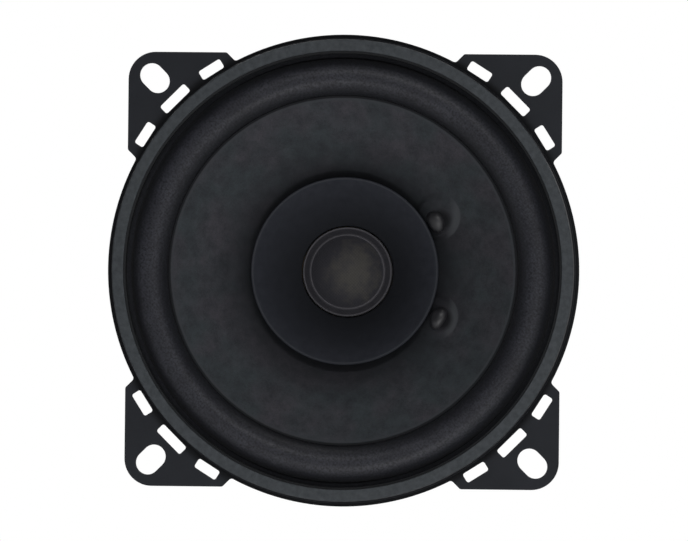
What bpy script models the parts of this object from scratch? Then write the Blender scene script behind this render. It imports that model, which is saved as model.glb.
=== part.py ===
"""A ten centimetre dual-cone car loudspeaker, modelled piece by piece as it comes apart.

The speaker faces -Y and +Z is up, so +X is on the viewer's right. The origin is the middle of
the flange's rear face, the face that seats on a door or a panel. Sizes below are in
millimetres, and MM turns them into Blender's metres as the meshes are made. A turned piece is
an outline of (radius, y) points swept about the Y axis, which is the speaker's own axis.
"""
import math

import bmesh
import bpy
from mathutils import Matrix, Vector

MM = 0.001
GAP = 0.3  # left between pieces that touch on the real speaker
MOTOR_GAP = 0.2  # left between the thin pieces round the voice coil

# Pressed steel basket: the sheet, its flange and the four mounting ears.
SHEET = 0.9
RIM_RADIUS = 50.8
EAR_HALF_WIDTH = 46.8
EAR_CORNER_RADIUS = 5.9
EAR_CHAMFER_OFFSET = 21.15  # the chamfer is the line x - z = this
SCREW_CIRCLE_RADIUS = 58.15
SCREW_SLOT_LENGTH = 7.0
SCREW_SLOT_WIDTH = 5.1
RELIEF_CIRCLE_RADIUS = 51.9
RELIEF_WIDTH = 2.2
RELIEF_MIDDLE_LENGTH = 7.2
RELIEF_SIDE_LENGTH = 5.4
RELIEF_SIDE_ANGLE = 11.1  # the side reliefs stand this far round from the diagonal
RELIEF_SIDE_TILT = 12.6
RELIEF_CORNER_RADIUS = 0.5

# Basket bowl, on its front surface.
CUTOUT_RADIUS = 46.1  # the bowl's outside just behind the flange
WALL_TOP = (43.6, 7.0)
WALL_FOOT = (33.2, 19.4)
LEDGE_Y = 20.6
LEDGE_OUTER_RADIUS = 31.0
LEDGE_INNER_RADIUS = 26.6
FLOOR_Y = 26.0
FLOOR_OUTER_RADIUS = 24.0
FLOOR_HOLE_RADIUS = 13.0
WINDOW_SPAN = 58.0  # degrees round the axis
WINDOW_SLANT_LENGTH = 13.4
WINDOW_CORNER = 3.0
DIAGONALS = (45.0, 135.0, 225.0, 315.0)

# Gasket and surround on the front of the flange.
GASKET_FRONT_Y = -5.0
GASKET_TOP_OUTER_RADIUS = 49.85
GASKET_TOP_INNER_RADIUS = 47.25
SURROUND_THICKNESS = 0.5
SURROUND_LIP_RADIUS = 49.9
ROLL_OUTER_RADIUS = 45.8
ROLL_INNER_RADIUS = 37.8
ROLL_CREST_Y = -4.75

# Moving cones.
CONE_EDGE = (37.4, -2.3)
CONE_NECK = (10.05, 15.8)
CONE_THICKNESS = 0.5
CONE_CURVE = 1.15
WHIZZER_EDGE = (20.0, 4.5)
WHIZZER_NECK = (10.0, 14.9)
WHIZZER_THICKNESS = 0.4
WHIZZER_CURVE = 1.25
CAP_RIM = (9.5, 14.7)
CAP_CREASE = (8.0, 14.5)
CAP_RISE = 3.2
CAP_THICKNESS = 0.4

# Voice coil and its gap.
FORMER_RADIUS = 9.6
FORMER_THICKNESS = 0.2
FORMER_FRONT_Y = 15.5
FORMER_REAR_Y = 33.6
WINDING_THICKNESS = 0.35
WINDING_FRONT_Y = 25.8
WINDING_REAR_Y = 32.8
COLLAR_THICKNESS = 0.3
COLLAR_FRONT_Y = 17.2
COLLAR_REAR_Y = 19.2
POLE_RADIUS = 9.3
GAP_BORE_RADIUS = 10.75

# Spider.
SPIDER_INNER_RADIUS = 10.1
SPIDER_OUTER_RADIUS = 30.4
SPIDER_THICKNESS = 0.5
SPIDER_WAVES = 4
SPIDER_WAVE_HEIGHT = 0.9
SPIDER_FIRST_WAVE_RADIUS = 11.5
SPIDER_LAST_WAVE_RADIUS = 26.5

# Motor.
TOP_PLATE_RADIUS = 27.5
TOP_PLATE_THICKNESS = 4.0
MAGNET_RADIUS = 30.0
MAGNET_BORE_RADIUS = 14.0
MAGNET_THICKNESS = 9.0
YOKE_RADIUS = 27.5
YOKE_THICKNESS = 3.5
RIVET_CIRCLE_RADIUS = 19.5
RIVET_RADIUS = 1.5
RIVET_HEAD_RADIUS = 2.4
RIVET_HEAD_HEIGHT = 1.0

# Terminals, on the arm at +X.
APERTURE_HALF_WIDTH = 7.6
APERTURE_REACH = (-5.4, 2.6)  # down the slanted wall, from its middle
TONGUE_Y = 16.0  # the tongue's front face
TONGUE_TIP_X = 44.0
TONGUE_HALF_WIDTH = 8.6
BOARD_THICKNESS = 1.4
BOARD_NEAR_X = 36.9
BOARD_FAR_X = 44.6
BOARD_HALF_WIDTH = 9.0
BLADE_X = 41.6
BLADE_Z = 5.2
BLADE_THICKNESS = 0.8
BLADE_FRONT_Y = 13.4
BLADE_REAR_Y = 27.4
POSITIVE_BLADE_WIDTH = 4.8
NEGATIVE_BLADE_WIDTH = 2.8
SHOULDER_WIDTH = 0.7  # how far a blade's shoulder stands out on each side
SHOULDER_HEIGHT = 1.5
TAIL_WIDTH = 2.0
BLADE_EYE_RADIUS = 0.7
TERMINAL_RIVET_RADIUS = 1.1
TERMINAL_RIVET_HEAD = (2.2, 0.7)
SOLDER_RADIUS = 1.1

# Flexible leads and the adhesive dots that cover them on the cone.
DOT_CIRCLE_RADIUS = 22.3
DOT_ANGLE = 27.7
DOT_RADIUS = 1.75
DOT_HEIGHT = 1.3
LEAD_RADIUS = 0.5

LARGE_SEGMENTS = 48
SMALL_SEGMENTS = 32
FINE_SEGMENTS = 14

# Colours are linear, with roughness and metallic after them.
FINISHES = {
    "painted_steel": ((0.022, 0.023, 0.026), 0.5, 0.0),
    "gasket_foam": ((0.055, 0.058, 0.063), 0.8, 0.0),
    "surround_cloth": ((0.030, 0.030, 0.033), 0.9, 0.0),
    "cone_paper": ((0.030, 0.031, 0.034), 0.85, 0.0),
    "whizzer_paper": ((0.020, 0.020, 0.023), 0.85, 0.0),
    "cap_fabric": ((0.045, 0.042, 0.040), 0.9, 0.0),
    "former_kapton": ((0.35, 0.16, 0.05), 0.45, 0.0),
    "coil_wire": ((0.55, 0.22, 0.09), 0.35, 1.0),
    "collar_paper": ((0.25, 0.19, 0.12), 0.9, 0.0),
    "black_adhesive": ((0.010, 0.010, 0.011), 0.25, 0.0),
    "spider_cloth": ((0.42, 0.30, 0.12), 0.95, 0.0),
    "zinc_steel": ((0.55, 0.55, 0.52), 0.35, 1.0),
    "ferrite": ((0.045, 0.045, 0.047), 0.55, 0.0),
    "phenolic_board": ((0.16, 0.08, 0.04), 0.6, 0.0),
    "tinned_brass": ((0.62, 0.60, 0.55), 0.3, 1.0),
    "solder": ((0.60, 0.60, 0.60), 0.3, 1.0),
    "tinsel_braid": ((0.45, 0.26, 0.14), 0.5, 1.0),
}


def clear_scene():
    for item in list(bpy.data.objects):
        bpy.data.objects.remove(item, do_unlink=True)


def make_finish(name):
    colour, roughness, metallic = FINISHES[name]
    material = bpy.data.materials.get(name) or bpy.data.materials.new(name)
    material.use_nodes = True
    shader = material.node_tree.nodes["Principled BSDF"]
    shader.inputs["Base Color"].default_value = (*colour, 1.0)
    shader.inputs["Roughness"].default_value = roughness
    shader.inputs["Metallic"].default_value = metallic
    return material


def make_empty(name):
    empty = bpy.data.objects.new(name, None)
    empty.empty_display_size = 10 * MM
    bpy.context.collection.objects.link(empty)
    return empty


def make_object(name, bm, finish, parent=None, smooth=True):
    """Turns a bmesh in millimetres into an object in metres, under its parent."""
    bmesh.ops.scale(bm, vec=(MM, MM, MM), verts=bm.verts)
    mesh = bpy.data.meshes.new(name)
    bm.to_mesh(mesh)
    bm.free()
    if smooth:
        mesh.shade_smooth()
        mesh.set_sharp_from_angle(angle=math.radians(35))
    item = bpy.data.objects.new(name, mesh)
    bpy.context.collection.objects.link(item)
    if finish:
        mesh.materials.append(make_finish(finish))
    item.parent = parent
    return item


def make_cutter(bm):
    """A Boolean's tool, which is a guide and not a piece of the speaker."""
    bmesh.ops.recalc_face_normals(bm, faces=bm.faces)
    cutter = make_object("cutter", bm, None, smooth=False)
    cutter.hide_render = True
    cutter.display_type = "WIRE"
    return cutter


def combine(item, tool, operation="DIFFERENCE"):
    modifier = item.modifiers.new(operation.lower(), "BOOLEAN")
    modifier.operation = operation
    modifier.object = tool
    modifier.solver = "EXACT"


def on_circle(radius, degrees):
    angle = math.radians(degrees)
    return radius * math.cos(angle), radius * math.sin(angle)


def arc(centre, radius, start, end, steps):
    """Points on an arc in the XZ plane, from start to end in degrees."""
    turn = (end - start) / steps
    points = [on_circle(radius, start + turn * i) for i in range(steps + 1)]
    return [(centre[0] + x, centre[1] + z) for x, z in points]


def turned_mesh(outline, segments):
    """Sweeps (radius, y) points about Y. An outline that meets the axis starts and ends on it."""
    bm = bmesh.new()
    verts = [bm.verts.new((radius, y, 0.0)) for radius, y in outline]
    edges = [bm.edges.new(pair) for pair in zip(verts, verts[1:])]
    if outline[0][0] > 0.0:
        edges.append(bm.edges.new((verts[-1], verts[0])))
    bmesh.ops.spin(
        bm, geom=verts + edges, cent=(0, 0, 0), axis=(0, 1, 0),
        angle=math.tau, steps=segments, use_merge=True,
    )
    bmesh.ops.remove_doubles(bm, verts=bm.verts, dist=0.0001)
    bmesh.ops.recalc_face_normals(bm, faces=bm.faces)
    return bm


def turned(name, outline, finish, parent=None, segments=SMALL_SEGMENTS):
    return make_object(name, turned_mesh(outline, segments), finish, parent)


def shell_outline(front, thickness):
    """A closed outline of a sheet: its front line, and the same line offset behind it.

    The front line runs inwards, from its outer edge to its inner edge.
    """
    line = [Vector(point) for point in front]
    rear = []
    for i, point in enumerate(line):
        before = (point - line[i - 1]).normalized() if i else None
        after = (line[i + 1] - point).normalized() if i < len(line) - 1 else None
        along = (before or after) + (after or before)
        along.normalize()
        normal = Vector((along.y, -along.x))
        stretch = 1.0 / max(0.5, normal.dot(Vector(((before or after).y, -(before or after).x))))
        rear.append(point + normal * thickness * stretch)
    for i, point in enumerate(line):
        if point.x == 0.0:
            rear[i].x = 0.0
    if line[-1].x == 0.0:
        outline = list(reversed(rear)) + line
    else:
        outline = line + list(reversed(rear))
    return [tuple(point) for point in outline]


def plate_mesh(loops, front_y, rear_y):
    """A flat plate in the XZ plane: an outer loop, then any hole loops, between two depths."""
    bm = bmesh.new()
    edges = []
    for loop in loops:
        verts = [bm.verts.new((x, front_y, z)) for x, z in loop]
        edges += [bm.edges.new(pair) for pair in zip(verts, verts[1:] + verts[:1])]
    filled = bmesh.ops.triangle_fill(bm, use_beauty=True, use_dissolve=False, edges=edges)
    faces = [item for item in filled["geom"] if isinstance(item, bmesh.types.BMFace)]
    grown = bmesh.ops.extrude_face_region(bm, geom=faces)
    moved = [item for item in grown["geom"] if isinstance(item, bmesh.types.BMVert)]
    bmesh.ops.translate(bm, vec=(0, rear_y - front_y, 0), verts=moved)
    bmesh.ops.recalc_face_normals(bm, faces=bm.faces)
    return bm


def rectangle(x_low, x_high, z_low, z_high, corner=0.0, steps=3):
    """A rectangle's loop, with its corners rounded."""
    if not corner:
        return [(x_high, z_low), (x_high, z_high), (x_low, z_high), (x_low, z_low)]
    corners = (
        ((x_high - corner, z_high - corner), 0),
        ((x_low + corner, z_high - corner), 90),
        ((x_low + corner, z_low + corner), 180),
        ((x_high - corner, z_low + corner), 270),
    )
    return [p for centre, start in corners for p in arc(centre, corner, start, start + 90, steps)]


def placed(loop, radius, degrees, tilt=0.0):
    """Moves a loop out along +X by a radius, then turns it about the speaker's axis."""
    spin = Matrix.Rotation(math.radians(tilt), 2)
    swing = Matrix.Rotation(math.radians(degrees), 2)
    return [tuple(swing @ (spin @ Vector(point) + Vector((radius, 0.0)))) for point in loop]


def ear_holes(diagonal):
    """The screw slot and the three relief slots of one ear."""
    half_length, half_width = SCREW_SLOT_LENGTH / 2, SCREW_SLOT_WIDTH / 2
    screw = rectangle(-half_length, half_length, -half_width, half_width, half_width * 0.999, 6)
    loops = [placed(screw, SCREW_CIRCLE_RADIUS, diagonal)]
    half = RELIEF_WIDTH / 2
    reliefs = (
        (RELIEF_MIDDLE_LENGTH, 0.0, 0.0),
        (RELIEF_SIDE_LENGTH, RELIEF_SIDE_ANGLE, RELIEF_SIDE_TILT - RELIEF_SIDE_ANGLE),
        (RELIEF_SIDE_LENGTH, -RELIEF_SIDE_ANGLE, RELIEF_SIDE_ANGLE - RELIEF_SIDE_TILT),
    )
    for length, angle, tilt in reliefs:
        slot = rectangle(-half, half, -length / 2, length / 2, RELIEF_CORNER_RADIUS, 2)
        loops.append(placed(slot, RELIEF_CIRCLE_RADIUS, diagonal + angle, tilt))
    return loops


def flange_outline():
    """The round rim with an ear at each corner, anticlockwise."""
    # Where the chamfer's line x - z = offset meets the rim's circle.
    half_sum = math.sqrt(RIM_RADIUS**2 / 2 - (EAR_CHAMFER_OFFSET / 2) ** 2)
    meet_x, meet_z = half_sum + EAR_CHAMFER_OFFSET / 2, half_sum - EAR_CHAMFER_OFFSET / 2
    rim_angle = math.degrees(math.atan2(meet_z, meet_x))
    chamfer_z = EAR_HALF_WIDTH - EAR_CHAMFER_OFFSET
    inset = EAR_HALF_WIDTH - EAR_CORNER_RADIUS
    ear = [(EAR_HALF_WIDTH, chamfer_z)]
    ear += arc((inset, inset), EAR_CORNER_RADIUS, 0, 90, 6)
    ear += [(chamfer_z, EAR_HALF_WIDTH)]
    ear += arc((0, 0), RIM_RADIUS, 90 - rim_angle, 90 + rim_angle, 10)
    outline = []
    for quarter in range(4):
        outline += placed(ear, 0.0, 90.0 * quarter)
    return outline


def bowl_line():
    """The bowl's front surface from the flange's inner edge to the hole in its floor."""
    wall = CUTOUT_RADIUS - SHEET
    return [
        (wall + 1.4, -SHEET),
        (wall + 0.5, -SHEET + 0.25),
        (wall, 0.4),
        (wall - 0.5, 5.0),
        WALL_TOP,
        WALL_FOOT,
        (LEDGE_OUTER_RADIUS + 0.9, LEDGE_Y - 0.3),
        (LEDGE_OUTER_RADIUS, LEDGE_Y),
        (LEDGE_INNER_RADIUS, LEDGE_Y),
        (LEDGE_INNER_RADIUS - 0.8, LEDGE_Y + 0.6),
        (FLOOR_OUTER_RADIUS + 0.8, FLOOR_Y - 0.9),
        (FLOOR_OUTER_RADIUS, FLOOR_Y),
        (FLOOR_HOLE_RADIUS, FLOOR_Y),
    ]


def wall_frame():
    """The middle of the slanted wall, its direction towards the floor and its outward normal."""
    top, foot = Vector(WALL_TOP), Vector(WALL_FOOT)
    along = (foot - top).normalized()
    return (top + foot) / 2, along, Vector((along.y, -along.x))


def window_cutter(degrees):
    """A sector of the slanted wall with rounded corners, centred on one diagonal."""
    middle, along, out = wall_frame()
    reach = WINDOW_SLANT_LENGTH / 2
    corners = [(-reach, -3.0), (reach, -3.0), (reach, 4.0), (-reach, 4.0)]
    bm = bmesh.new()
    verts = []
    for slant, depth in corners:
        radius, y = middle + along * slant + out * depth
        verts.append(bm.verts.new((radius, y, 0.0)))
    face = bm.faces.new(verts)
    bmesh.ops.rotate(
        bm, verts=verts, cent=(0, 0, 0),
        matrix=Matrix.Rotation(math.radians(WINDOW_SPAN / 2 - degrees), 3, "Y"),
    )
    bmesh.ops.spin(
        bm, geom=[*verts, *face.edges, face], cent=(0, 0, 0), axis=(0, 1, 0),
        angle=-math.radians(WINDOW_SPAN), steps=10, use_duplicate=False,
    )
    bmesh.ops.recalc_face_normals(bm, faces=bm.faces)
    ends = [face for face in bm.faces if is_end_face(face)]
    through = [edge for face in ends for edge in face.edges if is_through_edge(edge, out)]
    bmesh.ops.bevel(
        bm, geom=through, offset=WINDOW_CORNER, offset_type="OFFSET",
        segments=3, profile=0.5, affect="EDGES",
    )
    return make_cutter(bm)


def is_end_face(face):
    """True for a face whose plane holds the Y axis, as a sector's two ends do."""
    centre = face.calc_center_median()
    return abs(face.normal.y) < 0.01 and abs(face.normal.dot(centre.normalized())) < 0.01


def is_through_edge(edge, out):
    """True for an edge that runs through the wall, along its normal."""
    start, end = (vert.co for vert in edge.verts)
    rise = abs(start.y - end.y)
    return abs(rise / edge.calc_length() - abs(out.y)) < 0.01 and edge.calc_length() < 7.5


def aperture_cutter():
    """The opening in the arm at +X that the terminals' inner ends reach through."""
    middle, along, out = wall_frame()
    loop = rectangle(*APERTURE_REACH, -APERTURE_HALF_WIDTH, APERTURE_HALF_WIDTH, 1.0)
    bm = plate_mesh([loop], -3, 4)
    # Local X runs down the wall, and local Y runs out through it.
    axes = Matrix(((along.x, out.x, 0), (along.y, out.y, 0), (0, 0, 1)))
    bmesh.ops.rotate(bm, verts=bm.verts, cent=(0, 0, 0), matrix=axes)
    bmesh.ops.translate(bm, verts=bm.verts, vec=(middle.x, middle.y, 0))
    return make_cutter(bm)


def tongue():
    """The flat tab folded out of the arm, with clearance round the blades and its rivet."""
    root_x = WALL_FOOT[0] + 2.7  # inside the sheet of the wall at the tongue's depth
    loops = [
        rectangle(root_x, TONGUE_TIP_X, -TONGUE_HALF_WIDTH, TONGUE_HALF_WIDTH, 0.9, 2),
        blade_hole(BLADE_Z, POSITIVE_BLADE_WIDTH, 0.8),
        blade_hole(-BLADE_Z, NEGATIVE_BLADE_WIDTH, 0.8),
        arc((BLADE_X, 0.0), TERMINAL_RIVET_RADIUS + GAP, 0, 330, 11),
    ]
    return make_cutter(plate_mesh(loops, TONGUE_Y, TONGUE_Y + SHEET))


def blade_hole(z, width, clearance):
    half = BLADE_THICKNESS / 2 + clearance
    reach = width / 2 + clearance
    return rectangle(BLADE_X - half, BLADE_X + half, z - reach, z + reach)


def make_basket(parent):
    bm = bmesh.new()
    line = bowl_line()
    rings = []
    for radius, y in line:
        points = [on_circle(radius, 360 / LARGE_SEGMENTS * i) for i in range(LARGE_SEGMENTS)]
        rings.append([bm.verts.new((x, y, z)) for x, z in points])
    for outer, inner in zip(rings, rings[1:]):
        for i in range(LARGE_SEGMENTS):
            j = (i + 1) % LARGE_SEGMENTS
            bm.faces.new((outer[i], outer[j], inner[j], inner[i]))
    rim = rings[0]
    edges = [bm.edges.get((rim[i - 1], rim[i])) for i in range(LARGE_SEGMENTS)]
    loops = [flange_outline()]
    for diagonal in DIAGONALS:
        loops += ear_holes(diagonal)
    for loop in loops:
        verts = [bm.verts.new((x, -SHEET, z)) for x, z in loop]
        edges += [bm.edges.new(pair) for pair in zip(verts, verts[1:] + verts[:1])]
    bmesh.ops.triangle_fill(bm, use_beauty=True, use_dissolve=False, edges=edges)
    bmesh.ops.recalc_face_normals(bm, faces=bm.faces)
    flat = next(face for face in bm.faces if abs(face.normal.y) > 0.99 and len(face.verts) == 3)
    if flat.normal.y > 0:
        bmesh.ops.reverse_faces(bm, faces=bm.faces)
    basket = make_object("basket", bm, "painted_steel", parent)
    solidify = basket.modifiers.new("sheet", "SOLIDIFY")
    solidify.thickness = SHEET * MM
    solidify.offset = -1.0
    solidify.use_even_offset = True
    for diagonal in DIAGONALS:
        combine(basket, window_cutter(diagonal))
    combine(basket, aperture_cutter())
    combine(basket, tongue(), "UNION")
    for diagonal in DIAGONALS:
        combine(basket, rivet_hole_cutter(diagonal))


def rivet_hole_cutter(degrees):
    x, z = on_circle(RIVET_CIRCLE_RADIUS, degrees)
    hole = arc((x, z), RIVET_RADIUS + GAP, 0, 330, 11)
    return make_cutter(plate_mesh([hole], FLOOR_Y - 1.0, FLOOR_Y + SHEET + 1.0))


def make_gasket(parent):
    lip_front = -SHEET - GAP - SURROUND_THICKNESS
    outer = RIM_RADIUS - 0.2
    inner = GASKET_TOP_INNER_RADIUS - 0.4
    outline = [
        (outer, -SHEET - GAP),
        (outer, GASKET_FRONT_Y + 0.9),
        (outer - 0.2, GASKET_FRONT_Y + 0.3),
        (GASKET_TOP_OUTER_RADIUS, GASKET_FRONT_Y),
        (GASKET_TOP_INNER_RADIUS, GASKET_FRONT_Y),
        (inner, GASKET_FRONT_Y + 0.4),
        (inner, lip_front - GAP),
        (SURROUND_LIP_RADIUS + GAP, lip_front - GAP),
        (SURROUND_LIP_RADIUS + GAP, -SHEET - GAP),
    ]
    turned("gasket", outline, "gasket_foam", parent, LARGE_SEGMENTS)


def roll_line():
    """The surround's roll, one broad crest with steep flanks, from its outer foot inwards."""
    steps = 8
    middle = (ROLL_OUTER_RADIUS + ROLL_INNER_RADIUS) / 2
    half = (ROLL_OUTER_RADIUS - ROLL_INNER_RADIUS) / 2
    outer_y, inner_y = -SHEET - GAP - SURROUND_THICKNESS, CONE_EDGE[1] + 0.75
    points = []
    for i in range(steps + 1):
        turn = math.pi * i / steps
        across = math.cos(turn)
        foot_y = inner_y + (outer_y - inner_y) * (1 + across) / 2
        lift = (1 - abs(across) ** 2.2) ** 0.7
        points.append((middle + half * across, foot_y + (ROLL_CREST_Y - foot_y) * lift))
    return points


def make_surround(parent):
    lip_y = -SHEET - GAP - SURROUND_THICKNESS
    behind_cone = CONE_THICKNESS * 1.25 + GAP
    lip = [(radius, cone_y(radius) + behind_cone) for radius in (37.1, 34.8)]
    front = [(SURROUND_LIP_RADIUS, lip_y), (ROLL_OUTER_RADIUS + 0.5, lip_y), *roll_line(), *lip]
    outline = shell_outline(front, SURROUND_THICKNESS)
    turned("surround", outline, "surround_cloth", parent, LARGE_SEGMENTS)


def cone_y(radius):
    """The depth of the main cone's front surface."""
    share = (CONE_EDGE[0] - radius) / (CONE_EDGE[0] - CONE_NECK[0])
    return CONE_EDGE[1] + (CONE_NECK[1] - CONE_EDGE[1]) * share**CONE_CURVE


def make_cone(parent):
    steps = 6
    width = CONE_EDGE[0] - CONE_NECK[0]
    radii = [CONE_EDGE[0] - width * i / steps for i in range(steps + 1)]
    front = [(radius, cone_y(radius)) for radius in radii]
    outline = shell_outline(front, CONE_THICKNESS)
    turned("cone", outline, "cone_paper", parent, LARGE_SEGMENTS)


def make_whizzer_cone(parent):
    steps = 6
    points = []
    for i in range(steps + 1):
        share = 1 - i / steps
        radius = WHIZZER_NECK[0] + (WHIZZER_EDGE[0] - WHIZZER_NECK[0]) * share
        flare = 1 - (1 - share) ** WHIZZER_CURVE
        points.append((radius, WHIZZER_NECK[1] + (WHIZZER_EDGE[1] - WHIZZER_NECK[1]) * flare))
    outline = shell_outline(points, WHIZZER_THICKNESS)
    turned("whizzer_cone", outline, "whizzer_paper", parent)


def make_dust_cap(parent):
    steps = 5
    half_chord = CAP_CREASE[0]
    dome_radius = (half_chord**2 + CAP_RISE**2) / (2 * CAP_RISE)
    centre_y = CAP_CREASE[1] - CAP_RISE + dome_radius
    widest = math.asin(half_chord / dome_radius)
    dome = []
    for i in range(steps):
        tilt = widest * (1 - i / steps)
        dome.append((dome_radius * math.sin(tilt), centre_y - dome_radius * math.cos(tilt)))
    dome.append((0.0, centre_y - dome_radius))
    outline = shell_outline([CAP_RIM, *dome], CAP_THICKNESS)
    turned("dust_cap", outline, "cap_fabric", parent)


def tube(name, inner, thickness, front_y, rear_y, finish, parent):
    outer = inner + thickness
    outline = [(outer, front_y), (inner, front_y), (inner, rear_y), (outer, rear_y)]
    turned(name, outline, finish, parent)


def make_voice_coil(parent):
    around = FORMER_RADIUS + FORMER_THICKNESS + MOTOR_GAP
    tube("voice_coil_former", FORMER_RADIUS, FORMER_THICKNESS, FORMER_FRONT_Y, FORMER_REAR_Y,
         "former_kapton", parent)
    tube("voice_coil_winding", around, WINDING_THICKNESS, WINDING_FRONT_Y, WINDING_REAR_Y,
         "coil_wire", parent)
    tube("former_collar", around, COLLAR_THICKNESS, COLLAR_FRONT_Y, COLLAR_REAR_Y,
         "collar_paper", parent)


def make_neck_glue(parent):
    """The adhesive fillet in the wedge between the two cones at their necks."""
    outline = [(11.0, 14.45), (12.2, 13.5), (12.5, 13.6), (12.3, 13.8), (11.0, 14.75)]
    turned("neck_glue", outline, "black_adhesive", parent)


def make_spider(parent):
    lip_y = LEDGE_Y - GAP - SPIDER_THICKNESS
    steps = SPIDER_WAVES * 4
    width = SPIDER_LAST_WAVE_RADIUS - SPIDER_FIRST_WAVE_RADIUS
    front = [(SPIDER_OUTER_RADIUS, lip_y)]
    for i in range(steps + 1):
        phase = math.tau * SPIDER_WAVES * i / steps
        radius = SPIDER_LAST_WAVE_RADIUS - width * i / steps
        front.append((radius, lip_y - SPIDER_WAVE_HEIGHT * math.sin(phase)))
    front.append((SPIDER_INNER_RADIUS, lip_y))
    turned("spider", shell_outline(front, SPIDER_THICKNESS), "spider_cloth", parent)


def chamfered_ring(inner, outer, front_y, rear_y, bevel):
    return [
        (inner, front_y), (outer - bevel, front_y), (outer, front_y + bevel),
        (outer, rear_y - bevel), (outer - bevel, rear_y), (inner, rear_y),
    ]


def make_motor(parent):
    plate_front = FLOOR_Y + SHEET + GAP
    plate_rear = plate_front + TOP_PLATE_THICKNESS
    magnet_front = plate_rear + GAP
    magnet_rear = magnet_front + MAGNET_THICKNESS
    yoke_front = magnet_rear + GAP
    yoke_rear = yoke_front + YOKE_THICKNESS
    outline = chamfered_ring(GAP_BORE_RADIUS, TOP_PLATE_RADIUS, plate_front, plate_rear, 0.4)
    plate = turned("top_plate", outline, "zinc_steel", parent)
    for diagonal in DIAGONALS:
        x, z = on_circle(RIVET_CIRCLE_RADIUS, diagonal)
        hole = arc((x, z), RIVET_RADIUS + GAP, 0, 330, 11)
        combine(plate, make_cutter(plate_mesh([hole], plate_front - 1.0, plate_rear + 1.0)))
    outline = chamfered_ring(MAGNET_BORE_RADIUS, MAGNET_RADIUS, magnet_front, magnet_rear, 0.8)
    turned("magnet", outline, "ferrite", parent)
    pole_top = plate_front
    outline = [
        (0.0, pole_top),
        (POLE_RADIUS - 0.5, pole_top),
        (POLE_RADIUS, pole_top + 0.5),
        (POLE_RADIUS, yoke_front),
        (YOKE_RADIUS - 0.6, yoke_front),
        (YOKE_RADIUS, yoke_front + 0.6),
        (YOKE_RADIUS, yoke_rear - 0.8),
        (YOKE_RADIUS - 0.8, yoke_rear),
        (0.0, yoke_rear),
    ]
    turned("yoke_and_pole", outline, "zinc_steel", parent)
    for i, diagonal in enumerate(DIAGONALS, 1):
        make_basket_rivet(f"basket_rivet_{i}", diagonal, plate_rear, parent)


def make_basket_rivet(name, degrees, plate_rear, parent):
    head_rear = FLOOR_Y - GAP
    head_front = head_rear - RIVET_HEAD_HEIGHT
    outline = [
        (0.0, head_front),
        (RIVET_HEAD_RADIUS * 0.55, head_front + 0.1),
        (RIVET_HEAD_RADIUS * 0.9, head_front + 0.4),
        (RIVET_HEAD_RADIUS, head_rear),
        (RIVET_RADIUS, head_rear),
        (RIVET_RADIUS, plate_rear - 0.3),
        (0.0, plate_rear - 0.3),
    ]
    rivet = turned(name, outline, "zinc_steel", parent, FINE_SEGMENTS)
    x, z = on_circle(RIVET_CIRCLE_RADIUS, degrees)
    rivet.location = (x * MM, 0.0, z * MM)


def blade_outline(width):
    """A blade terminal seen along X, as (z, y): a tail, two shoulders and a tapered tip."""
    half, tail = width / 2, TAIL_WIDTH / 2
    shoulder = half + SHOULDER_WIDTH
    shoulder_front = TONGUE_Y + SHEET + GAP + BOARD_THICKNESS + GAP
    shoulder_rear = shoulder_front + SHOULDER_HEIGHT
    right = [
        (tail, BLADE_FRONT_Y),
        (tail, TONGUE_Y - 0.5),
        (half, TONGUE_Y),
        (half, shoulder_front),
        (shoulder, shoulder_front),
        (shoulder, shoulder_rear),
        (half, shoulder_rear),
        (half, BLADE_REAR_Y - 0.8),
        (half - 0.8, BLADE_REAR_Y),
    ]
    return right + [(-z, y) for z, y in reversed(right)]


def make_blade(name, z, width, parent):
    loops = [blade_outline(width), arc((0.0, BLADE_REAR_Y - 2.2), BLADE_EYE_RADIUS, 0, 330, 11)]
    bm = plate_mesh(loops, -BLADE_THICKNESS / 2, BLADE_THICKNESS / 2)
    # The outline's (z, y) lies in the plate's (x, z), so the axes trade places.
    turn = Matrix(((0, 1, 0), (0, 0, 1), (1, 0, 0)))
    bmesh.ops.rotate(bm, verts=bm.verts, cent=(0, 0, 0), matrix=turn)
    bmesh.ops.translate(bm, verts=bm.verts, vec=(BLADE_X, 0, z))
    bmesh.ops.recalc_face_normals(bm, faces=bm.faces)
    return make_object(name, bm, "tinned_brass", parent, smooth=False)


def make_terminals(parent):
    board_front = TONGUE_Y + SHEET + GAP
    board_rear = board_front + BOARD_THICKNESS
    loops = [
        rectangle(BOARD_NEAR_X, BOARD_FAR_X, -BOARD_HALF_WIDTH, BOARD_HALF_WIDTH, 1.2, 3),
        blade_hole(BLADE_Z, POSITIVE_BLADE_WIDTH, GAP),
        blade_hole(-BLADE_Z, NEGATIVE_BLADE_WIDTH, GAP),
        arc((BLADE_X, 0.0), TERMINAL_RIVET_RADIUS + GAP, 0, 330, 11),
    ]
    board = plate_mesh(loops, board_front, board_rear)
    make_object("terminal_board", board, "phenolic_board", parent, smooth=False)
    make_blade("terminal_positive", BLADE_Z, POSITIVE_BLADE_WIDTH, parent)
    make_blade("terminal_negative", -BLADE_Z, NEGATIVE_BLADE_WIDTH, parent)
    head_radius, head_height = TERMINAL_RIVET_HEAD
    outline = [
        (0.0, TONGUE_Y - GAP - head_height),
        (head_radius * 0.7, TONGUE_Y - GAP - head_height),
        (head_radius, TONGUE_Y - GAP),
        (TERMINAL_RIVET_RADIUS, TONGUE_Y - GAP),
        (TERMINAL_RIVET_RADIUS, board_rear + GAP),
        (head_radius, board_rear + GAP),
        (head_radius * 0.7, board_rear + GAP + head_height),
        (0.0, board_rear + GAP + head_height),
    ]
    rivet = turned("terminal_rivet", outline, "tinned_brass", parent, FINE_SEGMENTS)
    rivet.location.x = BLADE_X * MM


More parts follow.
